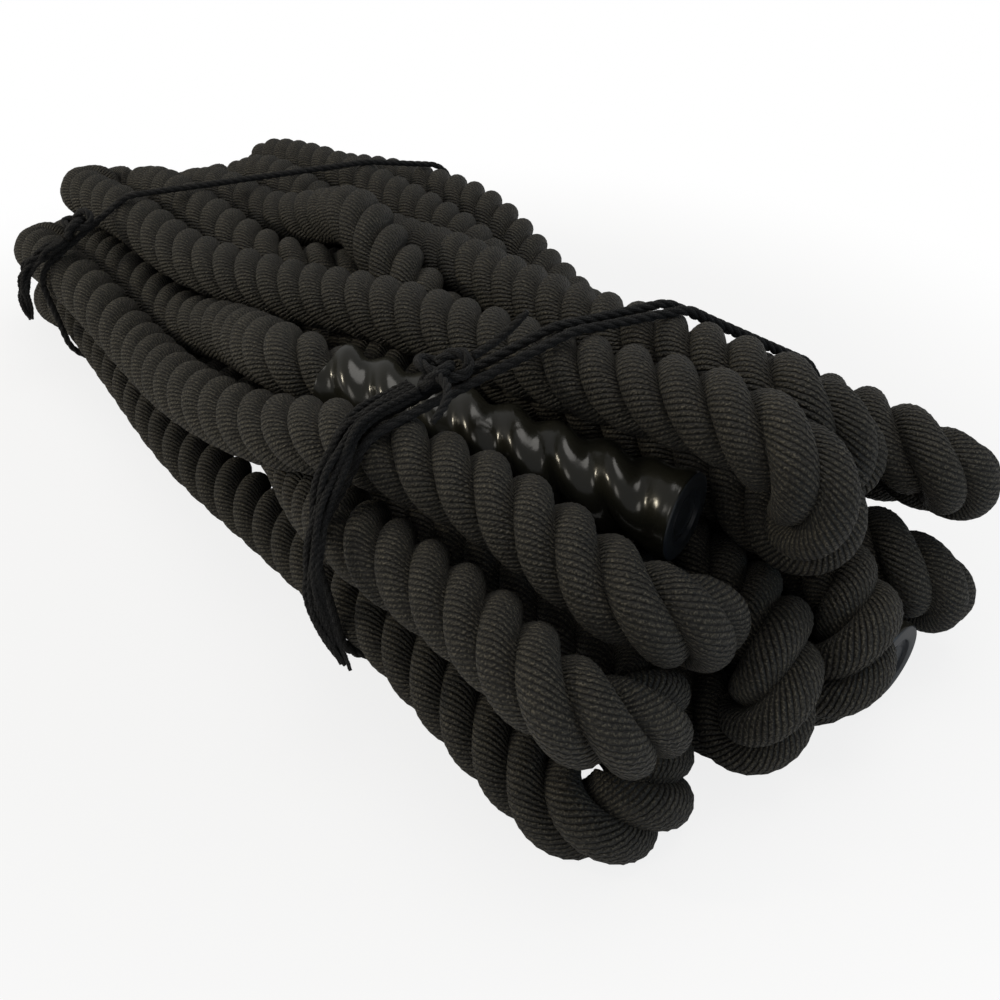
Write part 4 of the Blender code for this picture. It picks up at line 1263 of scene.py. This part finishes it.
def row_lift(band, along, asides, over):
    """How far a whole row of yarns is lifted at one place, to clear the rope."""
    lift = 0.0
    for _ in range(clearing_rounds):
        lift += max(band.lacking(band.point(along, aside, over + lift), yarn_diameter / 2)[0]
                    for aside in asides)
    return lift


def in_frame(points):
    """Points in the hank's own axes, moved into the frame."""
    return np.array(points) + shift


near_bands = []
for way, slant in zip((-0.5, 0.5), near_slant_shares):
    at_edge = near_tie_x + near_slant * near_edge_y + way * tie_spacing
    near_bands.append(Band(settled, at_edge - slant * near_edge_y, slant))
far_band = Band(settled, far_tie_x, far_slant_share)
print("ties, round the hank:", [round(band.walked[-1], 3) for band in (*near_bands, far_band)])

# %% [markdown]
# A closed turn of laid cord needs a whole number of strand turns, or its strands would miss each
# other at the seam. `closing_twist` eases the lay to the nearest one that closes.

# %% Wind the ties
tie_lay = 0.019               # of its strands, for one full turn
tie_step = 0.0014
tie_sides, knot_sides = 5, 6  # of each strand's arc


def closed_line(points, step):
    """A smooth closed line through the points, in equal steps."""
    padded = np.vstack([points[-3:], points, points[:3]])
    lengths = np.linalg.norm(np.diff(padded, axis=0), axis=1)
    counts = np.maximum(2, np.ceil(lengths / step)).astype(int)
    fine = smooth_curve(padded, counts)
    first, final = counts[:3].sum(), counts[:3 + len(points)].sum()
    loop = evenly(fine[first:final + 1], step)
    return loop[:-1]


for name, band in zip(("near_band_1", "near_band_2", "far_band"), (*near_bands, far_band)):
    line = closed_line(in_frame(band.line()), tie_step)
    tie = laid_cord(f"{name}_cord", line, tie_diameter, tie_lay, tie_sides, tie_yarn, closed=True)
    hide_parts(name)

# %% [markdown]
# Each knot sits on its band's upper side. The crushed cord is a little thicker there than in the
# taut turns.

# %% Tie the knots
knot_swell = 1.15
knot_points = 90              # of its course

for name, band, at in (("near_knot", near_bands[0], near_knot_y),
                       ("far_knot", far_band, far_knot_y)):
    along = band.place_of(at)
    turns = np.linspace(0.0, 2 * math.pi, knot_points, endpoint=False)
    points = [band.point(*(knot_middle(along) + knot_course(t))) for t in turns]
    line = closed_line(in_frame(points), tie_step)
    knot = laid_cord(f"{name}_cord", line, tie_diameter * knot_swell, tie_lay, knot_sides, tie_yarn,
                     closed=True)
    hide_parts(name)

# %% [markdown]
# Two short cut ends stick out of the near knot. Cut cord springs open and wears thin at the tip, so
# it is laid a little shorter and narrows at its very end.

# %% Cut ends of the near tie
tail_share, tail_lay_share = 0.9, 0.7      # of the tie's thickness and lay
tail_thinning, tail_power = 0.35, 6        # how much thinner its tip is, and how late it thins
tail_points = 12

tails = zip(near_tail_tips, near_tail_ways, near_tail_lengths, near_tail_bend_shares)
for number, (tip, way, length, bend_shares) in enumerate(tails, start=1):
    way, bend = np.array(way), np.array(bend_shares)
    begin = (knot_middle(near_bands[0].place_of(near_knot_y)) + knot_course(tip)
             + way * (tie_diameter / 2 + fit_gap))
    points = [near_bands[0].point(*(begin + length * (way * t + bend * t * t)))
              for t in np.linspace(0.0, 1.0, tail_points)]
    line = smooth_line(in_frame(points), tie_step, rounds=2)
    thin = 1 - tail_thinning * np.linspace(0.0, 1.0, len(line)) ** tail_power
    tail = laid_cord(f"near_cut_end_{number}", line, tie_diameter * tail_share,
                     tie_lay * tail_lay_share, knot_sides, tie_yarn, sizes=thin)
    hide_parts(f"near_tail_{number}")
print("cut ends, in mm:", [round(length * 1000) for length in near_tail_lengths])

# %% [markdown]
# ## The tassels
#
# Past its knot each tie falls apart into loose yarns, which hang over the side of the hank, cling
# to each other and end at different lengths. Their courses are the CAD model's, drawn together a
# little towards the tips.

# %% The courses of a tassel's yarns
tassel_cling = 0.6            # how far the tips are drawn to the tassel's middle


def tassel_courses(band, along, length, drift):
    """The courses of a tassel's yarns, in the hank's axes, as the CAD model lays them."""
    pitch = yarn_diameter + fit_gap
    start = along + knot_course(knot_tip)[0] + tie_diameter / 2 + 2 * fit_gap
    first_layer = tie_diameter / 2 + fit_gap + yarn_diameter / 2
    count = yarns_per_layer * tassel_layers
    columns = [(column - (yarns_per_layer - 1) / 2) * pitch for column in range(yarns_per_layer)]
    stations = np.linspace(0.0, 1.0, yarn_points)
    lifts = []
    for t in stations:
        over = first_layer + tassel_lift * smooth_step(t)
        asides = [drift * t * t + aside * (1 + tassel_spread_share * t) for aside in columns]
        lifts.append(over + row_lift(band, start + length * t, asides, over))
    courses = []
    for number in range(count):
        layer, column = divmod(number, yarns_per_layer)
        own_share = 1 - tassel_stagger_share * (number * 3 % count) / count
        points = []
        for t in stations * own_share:
            spread = 1 + tassel_spread_share * t
            points.append(band.point(start + length * t, columns[column] * spread + drift * t * t,
                                     np.interp(t, stations, lifts) + layer * pitch * spread))
        courses.append(np.array(points))
    middle = np.mean(courses, axis=0)
    cling = tassel_cling * stations[:, None] ** 2
    return [course * (1 - cling) + middle * cling for course in courses]


# %% [markdown]
# Each yarn gets a slight wave of its own, its twist, and a tip that thins out. The waves are sines
# whose phase grows from yarn to yarn, so that no two lie alike and every run gives the same ones.

# %% Hang the tassels
yarn_lay = 0.0105
yarn_step = 0.0012
yarn_sides = 4
yarn_swell = 1.3              # a loose yarn opens up
wave = 0.0014                 # how far a yarn strays
wave_onset = 3.0              # it sets in over a third of the yarn
phase_step = 2.4              # in radians, from yarn to yarn
# Waves along X, Y and Z: radians over a yarn, their change from yarn to yarn, and their lag
yarn_waves = ((17.0, 3.0, 1.0), (13.0, 0.0, 1.3), (21.0, 0.0, 1.7))
root_share, tip_thinning = 1.12, 0.55      # of a yarn's thickness
tip_power = 8                 # high, so that it thins only at the tip

tassels = []
for tassel, band, at, length, drift in (
        ("near_tassel", near_bands[0], near_knot_y, near_tassel_length, near_tassel_drift),
        ("far_tassel", far_band, far_knot_y, far_tassel_length, far_tassel_drift)):
    for number, course in enumerate(tassel_courses(band, band.place_of(at), length, drift)):
        line = smooth_line(in_frame(course), yarn_step, rounds=3)
        share = np.linspace(0.0, 1.0, len(line))
        phase = number * phase_step
        loose = wave * smooth_step(share * wave_onset)
        for axis, (swings, change, lag) in enumerate(yarn_waves):
            swings += change * math.sin(phase)
            line[:, axis] += loose * np.sin(share * swings + phase * lag)
        thin = root_share - tip_thinning * share ** tip_power
        yarn = laid_cord(f"{tassel}_strand_{number + 1}", line, yarn_diameter * yarn_swell,
                         yarn_lay, yarn_sides, tie_yarn, sizes=thin, start_turn=phase)
        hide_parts(f"{tassel}_yarn_{number + 1}")
        tassels.append(yarn)
print("tassel yarns:", len(tassels))

# %% [markdown]

# %% [markdown]
# ## Floor and light
#
# The photograph has a white background. To the camera the plain pale floor glows white, and most of
# all away from the rope: close to it the glow is weaker, so that the rope's shadow still shows.
# For every other ray it is a plain floor, and its glow lights nothing.

# %% Lay the floor
floor_reach = 6.0
glow_from, glow_to = 0.30, 0.65            # distances from the middle over which it rises
weak_glow = 0.82              # of white, close to the rope
floor_grey = 0.88

floor_mesh = bpy.data.meshes.new("pale_floor")
corners = ((-1, -1), (1, -1), (1, 1), (-1, 1))
floor_mesh.from_pydata([(x * floor_reach, y * floor_reach, 0) for x, y in corners], [],
                       [(0, 1, 2, 3)])
floor = placed("pale_floor", floor_mesh)
floor_paint, floor_shader, floor_start = new_material("pale_floor")
rays = floor_start.node("LightPath", {}, {})
here = floor_start.node("NewGeometry", {}, {})
away = floor_start.node("VectorMath", {"operation": "LENGTH"}, {0: here}, output=1)
far_off = floor_start.node("MapRange", {"interpolation_type": "SMOOTHSTEP"},
                           {0: away, 1: glow_from, 2: glow_to, 3: weak_glow, 4: 1.0})
glow = rays * far_off
feed(floor_shader, "Base Color", glow.mixed((floor_grey,) * 3, (0.0, 0.0, 0.0)))
feed(floor_shader, "Emission Color", glow.mixed((0.0, 0.0, 0.0), (1.0, 1.0, 1.0)))
feed(floor_shader, "Emission Strength", 1.0)
feed(floor_shader, "Roughness", 0.9)
feed(floor_shader, "Specular IOR Level", 0.0)
floor_mesh.materials.append(floor_paint)
print("floor:", 2 * floor_reach, "m wide")

# %% [markdown]
# The rope is nearly black, so its shape shows only by soft light that comes from the side, and the
# sleeves by what their gloss reflects. A large lamp overhead and a weaker one in front do most. A
# small warm one makes the bright crescents on the lobes of the sleeve, and a cool one gives the
# near loops a tinge of the photograph's blue.

# %% Hang the lamps
lit_spot = Vector((0.05, 0.0, 0.06))
sky_strength = 0.26           # of the world's light. The camera sees it at 1, which is white.


def lamp(name, place, size, power, colour):
    """A round lamp that shines on the rope: its width in metres and its power in watts."""
    data = bpy.data.lights.new(name, "AREA")
    data.shape, data.size, data.energy, data.color = "DISK", size, power, colour
    made = placed(name, data)
    aim(made, place, lit_spot - Vector(place))
    return made


lamps = [lamp("overhead", (0.0, 0.4, 2.2), 1.5, 13.0, (1.0, 0.97, 0.92)),
         lamp("window_left", (0.3, -1.7, 1.25), 0.7, 2.9, (1.0, 0.95, 0.86)),
         lamp("warm_spot", (-1.0, -1.3, 0.75), 0.20, 6.5, (1.0, 0.90, 0.70)),
         lamp("cool_side", (2.0, 0.9, 0.7), 0.8, 3.0, (0.50, 0.75, 1.0))]
print("lamps:", [made.name for made in lamps])

world = bpy.data.worlds.new("studio")
bpy.context.scene.world = world
world.use_nodes = True
sky = world.node_tree.nodes["Background"]
feed(sky, "Color", (1.0, 1.0, 1.0, 1.0))
seen = Socket(world.node_tree).node("LightPath", {}, {})
feed(sky, "Strength", sky_strength + (1 - sky_strength) * seen)
bpy.context.scene.view_settings.view_transform = "Standard"
